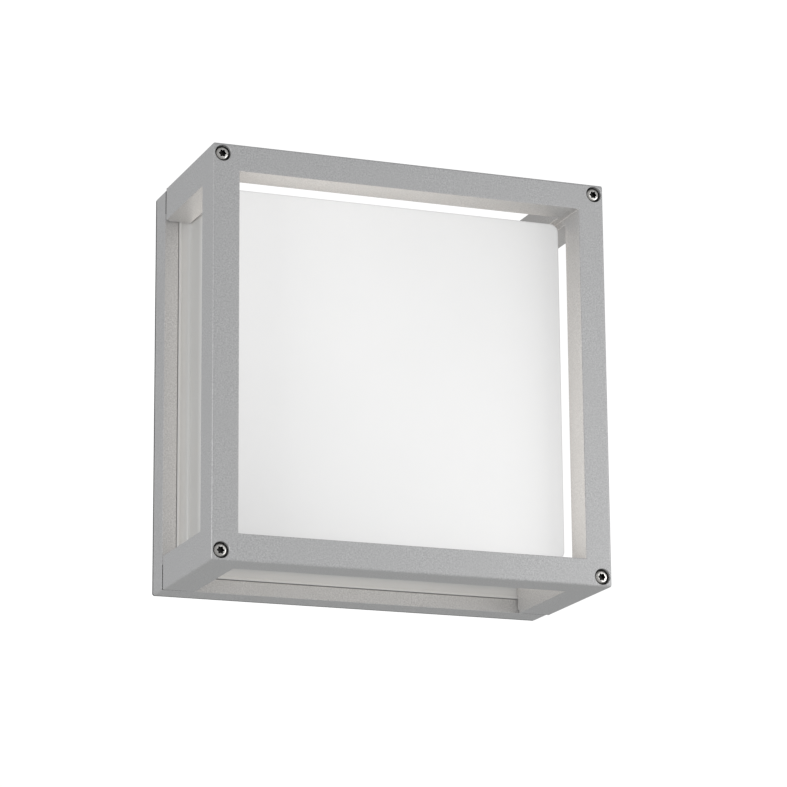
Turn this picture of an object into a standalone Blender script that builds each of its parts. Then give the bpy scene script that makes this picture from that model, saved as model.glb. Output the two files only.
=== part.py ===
"""Square outdoor wall lantern: a cast cage over an opal diffuser on a cast back plate.

Metres, +Z up. The origin is the centre of the back plate's rear face, which lies
on the wall, and the front faces -Y. Heights called h are distances out from the
wall, so a point at height h has y = -h.
"""

import math

import bmesh
import bpy
from mathutils import Vector

# Overall size
SIDE = 0.250
DEPTH = 0.116
HALF = SIDE / 2
TOUCH_GAP = 0.0003

# Back plate, a shallow tray
PLATE_DEPTH = 0.020
PLATE_HALF = 0.1245
PLATE_FLOOR = 0.004
SEAT_HALF = 0.1159
SEAT_HEIGHT = 0.0135
CAVITY_HALF = 0.1079

# Cage
SEAM = 0.0005
CAGE_BACK = PLATE_DEPTH + SEAM
CAGE_WALL = 0.0163
RAIL_DEPTH = 0.021
CORNER_WIDTH = 0.0205
EDGE_RADIUS = 0.0012
FOOT_INSET = 0.0112
FOOT_STEP = 0.0012

# Diffuser
FLANGE_HALF = 0.1156
FLANGE_THICKNESS = 0.003
BEAD_WIDTH = 0.0015
BEAD_TOP = 0.020
BODY_BACK_HALF = 0.1082
BODY_FRONT_HALF = 0.105
BODY_FRONT = DEPTH - 0.023
BODY_CORNER_RADIUS = 0.006
BODY_RIM_RADIUS = 0.0025
OPAL_WALL = 0.0025

# Gaskets
GASKET_THICKNESS = 0.002
GASKET_OUTER_HALF = 0.1145
GASKET_INNER_HALF = 0.1095
WALL_SEAL_OUTER_HALF = 0.115
WALL_SEAL_INNER_HALF = 0.109
WALL_SEAL_THICKNESS = 0.0022

# Cage screws, M4 x 100 with a six-lobe pan head
SCREW_INSET = 0.006
SCREW_LENGTH = 0.100
SCREW_RADIUS = 0.002
SCREW_HEAD_RADIUS = 0.004
SCREW_HEAD_HEIGHT = 0.0028
SCREW_HOLE_RADIUS = 0.0023
COUNTERBORE_RADIUS = 0.0049
COUNTERBORE_DEPTH = 0.005
WASHER_THICKNESS = 0.0005
RECESS_RADIUS = 0.00178
RECESS_WAVE = 0.00028
RECESS_DEPTH = 0.0018

# Holes in the back plate
ENTRY_Z = 0.045
ENTRY_RADIUS = 0.011
FIXING_OFFSET = 0.075
FIXING_HOLE_RADIUS = 0.0035
THREADED_HOLE_FLOOR = 0.008
PAST = 0.010

# Reflector tray
REFLECTOR_HALF = 0.103
REFLECTOR_TOP = 0.021
REFLECTOR_SHEET = 0.001
REFLECTOR_SKIRT_END = 0.015
REFLECTOR_EDGE_RADIUS = 0.0008
BOSS_OFFSET = 0.092
BOSS_RADIUS = 0.004
BOSS_HOLE_FLOOR = 0.010
REFLECTOR_SCREW_LENGTH = 0.009
SHORT_SCREW_LENGTH = 0.006
SMALL_SCREW_RADIUS = 0.0015
SMALL_HOLE_RADIUS = 0.0018
SMALL_HEAD_RADIUS = 0.003
SMALL_HEAD_HEIGHT = 0.0018

# Lamp and lampholder, E27, on an upright axis
LAMP_AXIS_H = 0.055
HOLDER_BACK_Z = -0.080
HOLDER_LENGTH = 0.045
HOLDER_RADIUS = 0.0205
HOLDER_NECK_RADIUS = 0.0175
HOLDER_NECK_LENGTH = 0.013
HOLDER_FLOOR = 0.010
SHELL_RADIUS = 0.0145
SHELL_SHEET = 0.0005
SHELL_START = 0.014
SHELL_END = 0.038
CONTACT_HALF_X = 0.006
CONTACT_HALF_H = 0.0025
THREAD_PITCH = 0.0036
THREAD_DEPTH = 0.0004
LAMP_TIP = 0.0125
CAP_START = LAMP_TIP + 0.0035
CAP_LENGTH = 0.0225
CAP_RADIUS = 0.0136
LAMP_NECK_RADIUS = 0.0142
LAMP_NECK_LENGTH = 0.008
LAMP_BODY_LENGTH = 0.030
LAMP_GLOBE_RADIUS = 0.030
LAMP_GLOBE_WALL = 0.0012
LAMP_GLOBE_SUNK = 0.25

# Lamp bracket
BRACKET_SHEET = 0.0015
BRACKET_BEND = 0.003
BRACKET_HALF_WIDTH = 0.019
BRACKET_TOP = 0.076
BRACKET_FOOT_LENGTH = 0.026
BRACKET_SCREW_X = 0.012
BRACKET_SCREW_INSET = 0.008
HOLDER_SCREW_OFFSET = 0.011

# Terminal block, earth point and wires
BLOCK_HALF_X = 0.0165
BLOCK_HALF_Z = 0.008
BLOCK_HEIGHT = 0.0125
POLE_SPACING = 0.010
BLOCK_EDGE_RADIUS = 0.0006
TERMINAL_OFFSET = 0.004
TERMINAL_WELL_RADIUS = 0.0023
TERMINAL_WELL_DEPTH = 0.006
TERMINAL_SCREW_RADIUS = 0.0018
TERMINAL_SCREW_LENGTH = 0.003
WIRE_WAY_RADIUS = 0.0019
WIRE_WAY_H = PLATE_FLOOR + 0.0032
EARTH_X = -0.045
EARTH_Z = -0.022
EARTH_BOSS_TOP = 0.009
EARTH_BOSS_RADIUS = 0.0055
EARTH_RING_RADIUS = 0.0046
EARTH_RING_HOLE = 0.0023
EARTH_RING_SHEET = 0.0008
EARTH_TONGUE = (0.0034, 0.0110)
EARTH_TONGUE_HALF = 0.0016
WIRE_RADIUS = 0.0012
WIRE_HOLE_Z = -0.094
WIRE_HOLE_RADIUS = 0.006
WIRE_ENTRY_X = 0.0045

ROUND_STEPS = 24
SMALL_STEPS = 12


# ---------------------------------------------------------------- scene

def clear_scene():
    for obj in list(bpy.data.objects):
        bpy.data.objects.remove(obj, do_unlink=True)


def new_collection(name):
    collection = bpy.data.collections.new(name)
    bpy.context.scene.collection.children.link(collection)
    return collection


def finish_material(name, colour, roughness, metallic=0.0):
    material = bpy.data.materials.new(name)
    material.use_nodes = True
    shader = material.node_tree.nodes["Principled BSDF"]
    shader.inputs["Base Color"].default_value = (*colour, 1.0)
    shader.inputs["Roughness"].default_value = roughness
    shader.inputs["Metallic"].default_value = metallic
    material.diffuse_color = (*colour, 1.0)
    return material


def new_object(name, mesh, collection, material=None):
    obj = bpy.data.objects.new(name, mesh)
    collection.objects.link(obj)
    if material:
        mesh.materials.append(material)
    return obj


def mesh_from(bm, name):
    bmesh.ops.recalc_face_normals(bm, faces=bm.faces)
    mesh = bpy.data.meshes.new(name)
    bm.to_mesh(mesh)
    bm.free()
    return mesh


# ---------------------------------------------------------------- shapes

def at(x, h, z):
    """A point at x, h out from the wall, and z."""
    return Vector((x, -h, z))


def box_mesh(name, low, high):
    """A box between two corners given as (x, h, z)."""
    centre = (at(*low) + at(*high)) / 2
    span = [abs(b - a) for a, b in zip(low, high)]
    bm = bmesh.new()
    bmesh.ops.create_cube(bm, size=1.0)
    bmesh.ops.scale(bm, vec=span, verts=bm.verts)
    bmesh.ops.translate(bm, vec=centre, verts=bm.verts)
    return mesh_from(bm, name)


def box(name, low, high, material=None):
    return new_object(name, box_mesh(name, low, high), parts, material)


def slab(name, half, h_low, h_high, material=None):
    """A square slab centred on the lantern's axis."""
    return box(name, (-half, h_low, -half), (half, h_high, half), material)


def round_edges(obj, radius, segments=2):
    bevel = obj.modifiers.new("rounded edges", "BEVEL")
    bevel.width = radius
    bevel.segments = segments
    bevel.limit_method = "ANGLE"
    bevel.angle_limit = math.radians(40)


def boolean(obj, other, operation):
    modifier = obj.modifiers.new(operation.lower() + " " + other.name, "BOOLEAN")
    modifier.operation = operation
    modifier.object = other


def as_cutter(obj):
    obj.hide_render = True
    obj.display_type = "WIRE"
    for collection in list(obj.users_collection):
        collection.objects.unlink(obj)
    cutters.objects.link(obj)
    return obj


def cut(obj, other):
    boolean(obj, as_cutter(other), "DIFFERENCE")


def join(obj, other):
    boolean(obj, as_cutter(other), "UNION")


def rod(name, radius, start, end, material=None, steps=SMALL_STEPS):
    """A straight cylinder from start to end, both world points."""
    along = end - start
    bm = bmesh.new()
    bmesh.ops.create_cone(
        bm,
        cap_ends=True,
        segments=steps,
        radius1=radius,
        radius2=radius,
        depth=along.length,
    )
    obj = new_object(name, mesh_from(bm, name), parts, material)
    obj.location = (start + end) / 2
    obj.rotation_euler = along.to_track_quat("Z", "Y").to_euler()
    obj.data.shade_smooth()
    obj.data.set_sharp_from_angle(angle=math.radians(40))
    return obj


def drill(obj, name, radius, x, z, h_low, h_high, steps=SMALL_STEPS):
    """Cuts a round hole along the lantern's depth, between two heights."""
    cut(obj, rod(name, radius, at(x, h_low, z), at(x, h_high, z), steps=steps))


def turned(name, profile, place, facing, material=None, steps=ROUND_STEPS):
    """Turns (radius, length) points about the axis through place.

    The points run down the outer side, from the facing end backwards. A profile
    that starts off the axis is a closed ring.
    """
    bm = bmesh.new()
    verts = [bm.verts.new((radius, 0, length)) for radius, length in profile]
    for first, second in zip(verts, verts[1:]):
        bm.edges.new((first, second))
    if profile[0][0] > 0:
        bm.edges.new((verts[-1], verts[0]))
    mesh = bpy.data.meshes.new(name)
    bm.to_mesh(mesh)
    bm.free()
    obj = new_object(name, mesh, parts, material)
    screw = obj.modifiers.new("turned", "SCREW")
    screw.axis = "Z"
    screw.angle = math.tau
    screw.steps = steps
    screw.render_steps = steps
    screw.use_merge_vertices = True
    screw.merge_threshold = 0.00002
    screw.use_smooth_shade = True
    obj.location = place
    obj.rotation_euler = facing.to_track_quat("Z", "Y").to_euler()
    return obj


def square_ring(name, outer_half, inner_half, h_low, h_high, material=None):
    ring = slab(name, outer_half, h_low, h_high, material)
    cut(ring, slab(name + " hole", inner_half, h_low - PAST, h_high + PAST))
    return ring


def smooth_route(points, per_span=4):
    """Points along a Catmull-Rom curve through the route's own points."""
    ends = [2 * points[0] - points[1], *points, 2 * points[-1] - points[-2]]
    route = []
    for a, b, c, d in zip(ends, ends[1:], ends[2:], ends[3:]):
        for step in range(per_span):
            t = step / per_span
            route.append(
                0.5 * (
                    2 * b
                    + (c - a) * t
                    + (2 * a - 5 * b + 4 * c - d) * t * t
                    + (3 * b - a - 3 * c + d) * t * t * t
                )
            )
    return [*route, points[-1]]


def wire(name, points, material):
    route = smooth_route(points)
    curve = bpy.data.curves.new(name, "CURVE")
    curve.dimensions = "3D"
    curve.bevel_depth = WIRE_RADIUS
    curve.bevel_resolution = 1
    curve.use_fill_caps = True
    spline = curve.splines.new("POLY")
    spline.points.add(len(route) - 1)
    for point, place in zip(spline.points, route):
        point.co = (*place, 1)
    return new_object(name, curve, parts, material)


OUT = Vector((0, -1, 0))
UP = Vector((0, 0, 1))
SIDES = {"left": -1, "right": 1}
CORNERS = {
    "top_left": (-1, 1),
    "top_right": (1, 1),
    "bottom_left": (-1, -1),
    "bottom_right": (1, -1),
}


def four(offset):
    """Each corner's name with the x and z at this offset from the centre."""
    return [(corner, x * offset, z * offset) for corner, (x, z) in CORNERS.items()]


# ---------------------------------------------------------------- sub-parts

def make_back_plate(material):
    """A cast tray: a seat for the diffuser's gasket round a cavity for the wiring."""
    plate = slab("back_plate", PLATE_HALF, 0, PLATE_DEPTH, material)
    round_edges(plate, EDGE_RADIUS)
    above = PLATE_DEPTH + PAST
    cut(plate, slab("seat", SEAT_HALF, SEAT_HEIGHT, above))
    cut(plate, slab("gear cavity", CAVITY_HALF, PLATE_FLOOR, above))
    cut(plate, seal_groove())
    for _, x, z in four(BOSS_OFFSET):
        foot = at(x, PLATE_FLOOR / 2, z)
        top = at(x, REFLECTOR_TOP - REFLECTOR_SHEET - TOUCH_GAP, z)
        join(plate, rod("tray boss", BOSS_RADIUS, foot, top))
        drill(plate, "boss hole", SMALL_HOLE_RADIUS, x, z, BOSS_HOLE_FLOOR, above)
    foot = at(EARTH_X, PLATE_FLOOR / 2, EARTH_Z)
    join(plate, rod("earth boss", EARTH_BOSS_RADIUS, foot, at(EARTH_X, EARTH_BOSS_TOP, EARTH_Z)))
    earth_hole_floor = PLATE_FLOOR / 2
    drill(plate, "earth hole", SMALL_HOLE_RADIUS, EARTH_X, EARTH_Z, earth_hole_floor, above)
    for _, x, z in four(HALF - SCREW_INSET):
        drill(plate, "threaded hole", SCREW_HOLE_RADIUS, x, z, THREADED_HOLE_FLOOR, above)
    for _, x, z in four(FIXING_OFFSET):
        drill(plate, "fixing hole", FIXING_HOLE_RADIUS, x, z, -PAST, PAST)
    drill(plate, "cable entry", ENTRY_RADIUS, 0, ENTRY_Z, -PAST, PAST, ROUND_STEPS)
    return plate


def seal_groove():
    return square_ring(
        "seal groove",
        WALL_SEAL_OUTER_HALF + TOUCH_GAP,
        WALL_SEAL_INNER_HALF - TOUCH_GAP,
        -PAST,
        WALL_SEAL_THICKNESS + TOUCH_GAP,
    )


def make_wall_seal(material):
    return square_ring(
        "wall_seal", WALL_SEAL_OUTER_HALF, WALL_SEAL_INNER_HALF, 0, WALL_SEAL_THICKNESS, material
    )


def make_cable_grommet(material):
    neck = ENTRY_RADIUS - TOUCH_GAP
    inside = PLATE_FLOOR + TOUCH_GAP
    profile = [
        (0.0045, inside + 0.006),
        (0.0060, inside + 0.006),
        (0.0080, inside + 0.002),
        (0.0140, inside + 0.002),
        (0.0140, inside),
        (neck, inside),
        (neck, TOUCH_GAP),
        (neck - 0.002, TOUCH_GAP),
        (neck - 0.002, inside - 0.001),
        (0.0062, inside),
        (0.0045, inside + 0.0045),
    ]
    return turned("cable_grommet", profile, at(0, 0, ENTRY_Z), OUT, material)


def make_fixing_grommets(material):
    neck = FIXING_HOLE_RADIUS - TOUCH_GAP
    inside = PLATE_FLOOR + TOUCH_GAP
    profile = [
        (0.0022, inside + 0.0015),
        (0.0060, inside + 0.0015),
        (0.0060, inside),
        (neck, inside),
        (neck, TOUCH_GAP),
        (0.0022, TOUCH_GAP),
    ]
    for corner, x, z in four(FIXING_OFFSET):
        turned("fixing_grommet_" + corner, profile, at(x, 0, z), OUT, material, SMALL_STEPS)


def make_cage(material):
    """One casting: a square front rail on four L-shaped corner legs, open on every side."""
    cage = slab("cage", HALF, CAGE_BACK - FOOT_STEP, DEPTH, material)
    round_edges(cage, EDGE_RADIUS)
    in_front = DEPTH + PAST
    aside = HALF + PAST
    cut(cage, square_ring("foot step", aside, HALF - FOOT_INSET, 0, CAGE_BACK))
    cut(cage, slab("inside", HALF - CAGE_WALL, 0, in_front))
    window_half = HALF - CORNER_WIDTH
    window_front = DEPTH - RAIL_DEPTH
    cut(cage, box("side windows", (-aside, 0, -window_half), (aside, window_front, window_half)))
    cut(cage, box("end windows", (-window_half, 0, -aside), (window_half, window_front, aside)))
    for _, x, z in four(HALF - SCREW_INSET):
        drill(cage, "screw hole", SCREW_HOLE_RADIUS, x, z, 0, in_front)
        floor = DEPTH - COUNTERBORE_DEPTH
        drill(cage, "counterbore", COUNTERBORE_RADIUS, x, z, floor, in_front, ROUND_STEPS)
    return cage


def tapered_block(name, back_half, front_half, h_back, h_front, corner_radius, rim_radius):
    """A square block that narrows to the front, with round corners and a round front rim."""
    bm = bmesh.new()
    bmesh.ops.create_cube(bm, size=2.0)
    for vert in bm.verts:
        in_front = vert.co.y < 0
        half = front_half if in_front else back_half
        height = h_front if in_front else h_back
        vert.co = at(vert.co.x * half, height, vert.co.z * half)
    corners = [edge for edge in bm.edges if abs(edge.verts[0].co.y - edge.verts[1].co.y) > 0.001]
    bmesh.ops.bevel(bm, geom=corners, offset=corner_radius, segments=5, affect="EDGES", profile=0.5)
    front = max(-vert.co.y for vert in bm.verts)
    rim = [edge for edge in bm.edges if all(abs(-v.co.y - front) < 0.00005 for v in edge.verts)]
    bmesh.ops.bevel(bm, geom=rim, offset=rim_radius, segments=3, affect="EDGES", profile=0.5)
    return mesh_from(bm, name)


def make_diffuser(material):
    flange_back = SEAT_HEIGHT + 2 * TOUCH_GAP + GASKET_THICKNESS
    flange_front = flange_back + FLANGE_THICKNESS
    body = tapered_block(
        "diffuser",
        BODY_BACK_HALF,
        BODY_FRONT_HALF,
        flange_back,
        BODY_FRONT,
        BODY_CORNER_RADIUS,
        BODY_RIM_RADIUS,
    )
    diffuser = new_object("diffuser", body, parts, material)
    join(diffuser, slab("flange", FLANGE_HALF, flange_back, flange_front))
    bead = square_ring("bead", FLANGE_HALF, FLANGE_HALF - BEAD_WIDTH, flange_back, BEAD_TOP)
    join(diffuser, bead)
    hollow = tapered_block(
        "hollow",
        BODY_BACK_HALF - OPAL_WALL,
        BODY_FRONT_HALF - OPAL_WALL,
        flange_back - PAST / 2,
        BODY_FRONT - OPAL_WALL,
        BODY_CORNER_RADIUS - OPAL_WALL,
        BODY_RIM_RADIUS / 2,
    )
    cut(diffuser, new_object("hollow", hollow, parts))
    return diffuser


def make_diffuser_gasket(material):
    low = SEAT_HEIGHT + TOUCH_GAP
    return square_ring(
        "diffuser_gasket",
        GASKET_OUTER_HALF,
        GASKET_INNER_HALF,
        low,
        low + GASKET_THICKNESS,
        material,
    )


def lobed_prism(name, place, depth):
    """The six-lobe driving recess of a screw, as a cutter."""
    bm = bmesh.new()
    bmesh.ops.create_cone(
        bm, cap_ends=True, segments=24, radius1=1.0, radius2=1.0, depth=2 * depth
    )
    for vert in bm.verts:
        angle = math.atan2(vert.co.y, vert.co.x)
        radius = RECESS_RADIUS + RECESS_WAVE * math.cos(6 * angle)
        vert.co.x *= radius
        vert.co.y *= radius
    obj = new_object(name, mesh_from(bm, name), parts)
    obj.location = place
    obj.rotation_euler = OUT.to_track_quat("Z", "Y").to_euler()
    return obj


def head_seat():
    """The height at which a cage screw's head rests on its washer."""
    return DEPTH - COUNTERBORE_DEPTH + WASHER_THICKNESS + 2 * TOUCH_GAP


def pan_profile(head_radius, head_height, shank_radius, length):
    """A pan head over a plain shank, from the top of the head down."""
    dome = [
        (head_radius * math.sin(turn), head_height * (0.62 + 0.38 * math.cos(turn)))
        for turn in [math.radians(angle) for angle in (0, 40, 68, 90)]
    ]
    return [
        *dome,
        (head_radius, 0),
        (shank_radius, 0),
        (shank_radius, -length + shank_radius / 2),
        (shank_radius / 2, -length),
        (0, -length),
    ]


def make_cage_screws(material):
    profile = pan_profile(SCREW_HEAD_RADIUS, SCREW_HEAD_HEIGHT, SCREW_RADIUS, SCREW_LENGTH)
    for corner, x, z in four(HALF - SCREW_INSET):
        place = at(x, head_seat(), z)
        screw = turned("cage_screw_" + corner, profile, place, OUT, material, SMALL_STEPS)
        top = place + OUT * SCREW_HEAD_HEIGHT
        cut(screw, lobed_prism("recess " + corner, top, RECESS_DEPTH))


def make_screw_washers(material):
    low = DEPTH - COUNTERBORE_DEPTH + TOUCH_GAP
    profile = [
        (0.0024, WASHER_THICKNESS),
        (0.0045, WASHER_THICKNESS),
        (0.0045, 0),
        (0.0024, 0),
    ]
    for corner, x, z in four(HALF - SCREW_INSET):
        turned("cage_screw_washer_" + corner, profile, at(x, low, z), OUT, material, SMALL_STEPS)


def make_reflector_tray(material):
    tray = slab("reflector_tray", REFLECTOR_HALF, REFLECTOR_SKIRT_END, REFLECTOR_TOP, material)
    round_edges(tray, REFLECTOR_EDGE_RADIUS)
    inside = REFLECTOR_HALF - REFLECTOR_SHEET
    cut(tray, slab("tray inside", inside, BOSS_HOLE_FLOOR, REFLECTOR_TOP - REFLECTOR_SHEET))
    low = REFLECTOR_TOP - PAST / 2
    high = REFLECTOR_TOP + PAST
    for _, x, z in four(BOSS_OFFSET):
        drill(tray, "tray screw hole", SMALL_HOLE_RADIUS, x, z, low, high)
    for x in (-BRACKET_SCREW_X, BRACKET_SCREW_X):
        drill(tray, "bracket hole", SMALL_HOLE_RADIUS, x, bracket_screw_z(), low, high)
    drill(tray, "wire hole", WIRE_HOLE_RADIUS, 0, WIRE_HOLE_Z, low, high)
    return tray


def make_wire_bush(material):
    neck = WIRE_HOLE_RADIUS - TOUCH_GAP
    top = REFLECTOR_TOP + TOUCH_GAP
    low = REFLECTOR_TOP - REFLECTOR_SHEET - TOUCH_GAP
    profile = [
        (0.0045, top + 0.001),
        (0.0072, top + 0.001),
        (0.0072, top),
        (neck, top),
        (neck, low),
        (0.0068, low),
        (0.0068, low - 0.001),
        (0.0045, low - 0.001),
    ]
    return turned("wire_bush", profile, at(0, 0, WIRE_HOLE_Z), OUT, material, SMALL_STEPS)


def small_screw(name, place, facing, length, material):
    """A small pan-head screw, the underside of its head at the place."""
    profile = pan_profile(SMALL_HEAD_RADIUS, SMALL_HEAD_HEIGHT, SMALL_SCREW_RADIUS, length)
    return turned(name, profile, place, facing, material, SMALL_STEPS)


def make_reflector_screws(material):
    height = REFLECTOR_TOP + TOUCH_GAP
    for corner, x, z in four(BOSS_OFFSET):
        place = at(x, height, z)
        small_screw("reflector_screw_" + corner, place, OUT, REFLECTOR_SCREW_LENGTH, material)


def bracket_face_z():
    return HOLDER_BACK_Z - TOUCH_GAP


def bracket_screw_z():
    return bracket_face_z() + BRACKET_FOOT_LENGTH - BRACKET_SCREW_INSET


def make_lamp_bracket(material):
    """A strip bent to an L: a foot on the tray and a riser behind the lampholder."""
    low = REFLECTOR_TOP + TOUCH_GAP
    face = bracket_face_z()
    path = [(face - BRACKET_SHEET, BRACKET_TOP)]
    for angle in range(0, 91, 15):
        turn = math.radians(angle)
        z = face - BRACKET_SHEET + BRACKET_BEND * (1 - math.cos(turn))
        path.append((z, low + BRACKET_BEND * (1 - math.sin(turn))))
    path.append((face + BRACKET_FOOT_LENGTH, low))
    bm = bmesh.new()
    rows = [
        [bm.verts.new(at(x, h, z)) for z, h in path]
        for x in (-BRACKET_HALF_WIDTH, BRACKET_HALF_WIDTH)
    ]
    for index in range(len(path) - 1):
        bm.faces.new((rows[0][index], rows[0][index + 1], rows[1][index + 1], rows[1][index]))
    mesh = bpy.data.meshes.new("lamp_bracket")
    bm.to_mesh(mesh)
    bm.free()
    bracket = new_object("lamp_bracket", mesh, parts, material)
    sheet = bracket.modifiers.new("sheet", "SOLIDIFY")
    sheet.thickness = BRACKET_SHEET
    sheet.offset = -1.0
    sheet.use_even_offset = True
    through_riser(bracket, "bracket wire hole", WIRE_HOLE_RADIUS, 0)
    for x in (-HOLDER_SCREW_OFFSET, HOLDER_SCREW_OFFSET):
        through_riser(bracket, "holder hole", SMALL_HOLE_RADIUS, x)
    for x in (-BRACKET_SCREW_X, BRACKET_SCREW_X):
        foot = REFLECTOR_TOP + BRACKET_SHEET
        drill(
            bracket, "foot hole", SMALL_HOLE_RADIUS, x, bracket_screw_z(), foot - PAST, foot + PAST
        )
    return bracket


def through_riser(bracket, name, radius, x):
    """Cuts a hole through the bracket's riser, level with the lamp's axis."""
    face = bracket_face_z()
    start = at(x, LAMP_AXIS_H, face - PAST)
    cut(bracket, rod(name, radius, start, at(x, LAMP_AXIS_H, face + PAST)))


def make_bracket_screws(material):
    height = REFLECTOR_TOP + 2 * TOUCH_GAP + BRACKET_SHEET
    for side, sign in SIDES.items():
        place = at(sign * BRACKET_SCREW_X, height, bracket_screw_z())
        small_screw("bracket_screw_" + side, place, OUT, SHORT_SCREW_LENGTH, material)


def make_holder_screws(material):
    z = bracket_face_z() - BRACKET_SHEET - TOUCH_GAP
    for side, sign in SIDES.items():
        place = at(sign * HOLDER_SCREW_OFFSET, LAMP_AXIS_H, z)
        small_screw("holder_screw_" + side, place, -UP, SHORT_SCREW_LENGTH, material)


def lamp_place():
    return at(0, LAMP_AXIS_H, HOLDER_BACK_Z)


def make_lampholder_housing(material):
    """A porcelain cup with a narrower neck, bored for the threaded shell."""
    shoulder = HOLDER_RADIUS - HOLDER_NECK_RADIUS
    profile = [
        (0, HOLDER_LENGTH),
        (HOLDER_RADIUS, HOLDER_LENGTH),
        (HOLDER_RADIUS, HOLDER_NECK_LENGTH + shoulder),
        (HOLDER_NECK_RADIUS, HOLDER_NECK_LENGTH),
        (HOLDER_NECK_RADIUS, 0),
        (0, 0),
    ]
    foot = lamp_place()
    housing = turned("lampholder_housing", profile, foot, UP, material)
    bore = SHELL_RADIUS + TOUCH_GAP
    top = foot + UP * (HOLDER_LENGTH + PAST)
    cut(housing, rod("holder bore", bore, foot + UP * HOLDER_FLOOR, top, steps=ROUND_STEPS))
    entries = {HOLDER_SCREW_OFFSET: SMALL_HOLE_RADIUS, WIRE_ENTRY_X: WIRE_RADIUS + TOUCH_GAP}
    for offset, radius in entries.items():
        for x in (-offset, offset):
            start = foot + Vector((x, 0, -PAST))
            depth = PAST + SHORT_SCREW_LENGTH + THREAD_DEPTH
            cut(housing, rod("holder entry", radius, start, start + UP * depth))
    return housing


def thread_profile(radius, start, end):
    """Rounded screw-cap thread: rings one pitch apart between two lengths, from end to start."""
    count = int((end - start) / THREAD_PITCH * 4)
    profile = []
    for index in range(count + 1):
        length = end + (start - end) * index / count
        wave = THREAD_DEPTH * math.cos(math.tau * (end - length) / THREAD_PITCH)
        profile.append((radius + wave - THREAD_DEPTH, length))
    return profile


def make_lampholder_shell(material):
    profile = [
        (SHELL_RADIUS, SHELL_END),
        (SHELL_RADIUS, SHELL_START),
        (SHELL_RADIUS - SHELL_SHEET, SHELL_START),
        (SHELL_RADIUS - SHELL_SHEET, SHELL_END),
    ]
    return turned("lampholder_shell", profile, lamp_place(), UP, material)


def make_lampholder_contact(material):
    """The sprung centre contact, from the holder's floor up to the lamp's tip."""
    foot = lamp_place().z
    low = foot + HOLDER_FLOOR + TOUCH_GAP
    high = foot + LAMP_TIP - TOUCH_GAP
    return box(
        "lampholder_contact",
        (-CONTACT_HALF_X, LAMP_AXIS_H - CONTACT_HALF_H, low),
        (CONTACT_HALF_X, LAMP_AXIS_H + CONTACT_HALF_H, high),
        material,
    )


def make_lamp_cap(material):
    end = CAP_START + CAP_LENGTH
    profile = [
        (CAP_RADIUS + 0.0001, end),
        *thread_profile(CAP_RADIUS, CAP_START + 0.002, end - 0.003),
        (0.0085, CAP_START),
        (0.0080, CAP_START),
        (CAP_RADIUS - 0.0016, CAP_START + 0.0022),
        (CAP_RADIUS - 0.0012, end),
    ]
    return turned("lamp_cap", profile, lamp_place(), UP, material)


def make_lamp_cap_insulator(material):
    profile = [
        (0, CAP_START + 0.0012),
        (0.0072, CAP_START + 0.0012),
        (0.0072, CAP_START - 0.0008),
        (0.0048, LAMP_TIP + 0.0012),
        (0.0044, LAMP_TIP),
        (0, LAMP_TIP),
    ]
    return turned("lamp_cap_insulator", profile, lamp_place(), UP, material)


def make_lamp_body(material):
    """The lamp's moulded body, which widens from the cap to the globe."""
    start = CAP_START + CAP_LENGTH + TOUCH_GAP
    end = start + LAMP_BODY_LENGTH
    shoulder = LAMP_GLOBE_RADIUS * math.sqrt(1 - LAMP_GLOBE_SUNK**2)
    profile = [
        (0, end),
        (shoulder - 0.004, end),
        (shoulder - 0.0005, end - 0.0015),
        (0.0265, end - 0.008),
        (0.0205, end - 0.017),
        (LAMP_NECK_RADIUS, start + LAMP_NECK_LENGTH),
        (LAMP_NECK_RADIUS, start),
        (0, start),
    ]
    return turned("lamp_body", profile, lamp_place(), UP, material)


def make_lamp_globe(material):
    """An opal bulb, open where it meets the lamp's body."""
    start = CAP_START + CAP_LENGTH + LAMP_BODY_LENGTH + 2 * TOUCH_GAP
    centre = start + LAMP_GLOBE_RADIUS * LAMP_GLOBE_SUNK
    widest_turn = math.acos(-LAMP_GLOBE_SUNK)
    bands = 8
    outer = []
    inner = []
    for band in range(bands + 1):
        turn = widest_turn * band / bands
        across = math.sin(turn)
        along = math.cos(turn)
        outer.append((LAMP_GLOBE_RADIUS * across, centre + LAMP_GLOBE_RADIUS * along))
        radius = LAMP_GLOBE_RADIUS - LAMP_GLOBE_WALL
        inner.append((radius * across, max(start, centre + radius * along)))
    return turned("lamp_globe", [*outer, *inner[::-1]], lamp_place(), UP, material)


def make_terminal_block(material):
    """Three poles side by side, each with two screw wells over a wire way."""
    low = PLATE_FLOOR + TOUCH_GAP
    high = low + BLOCK_HEIGHT
    block = box(
        "terminal_block",
        (-BLOCK_HALF_X, low, -BLOCK_HALF_Z),
        (BLOCK_HALF_X, high, BLOCK_HALF_Z),
        material,
    )
    round_edges(block, BLOCK_EDGE_RADIUS)
    well_floor = high - TERMINAL_WELL_DEPTH
    for pole in (-1, 0, 1):
        x = pole * POLE_SPACING
        for z in (-TERMINAL_OFFSET, TERMINAL_OFFSET):
            drill(block, "terminal well", TERMINAL_WELL_RADIUS, x, z, well_floor, high + PAST)
        start = at(x, WIRE_WAY_H, -BLOCK_HALF_Z - PAST)
        end = at(x, WIRE_WAY_H, BLOCK_HALF_Z + PAST)
        cut(block, rod("wire way", WIRE_WAY_RADIUS, start, end))
    return block


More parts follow.
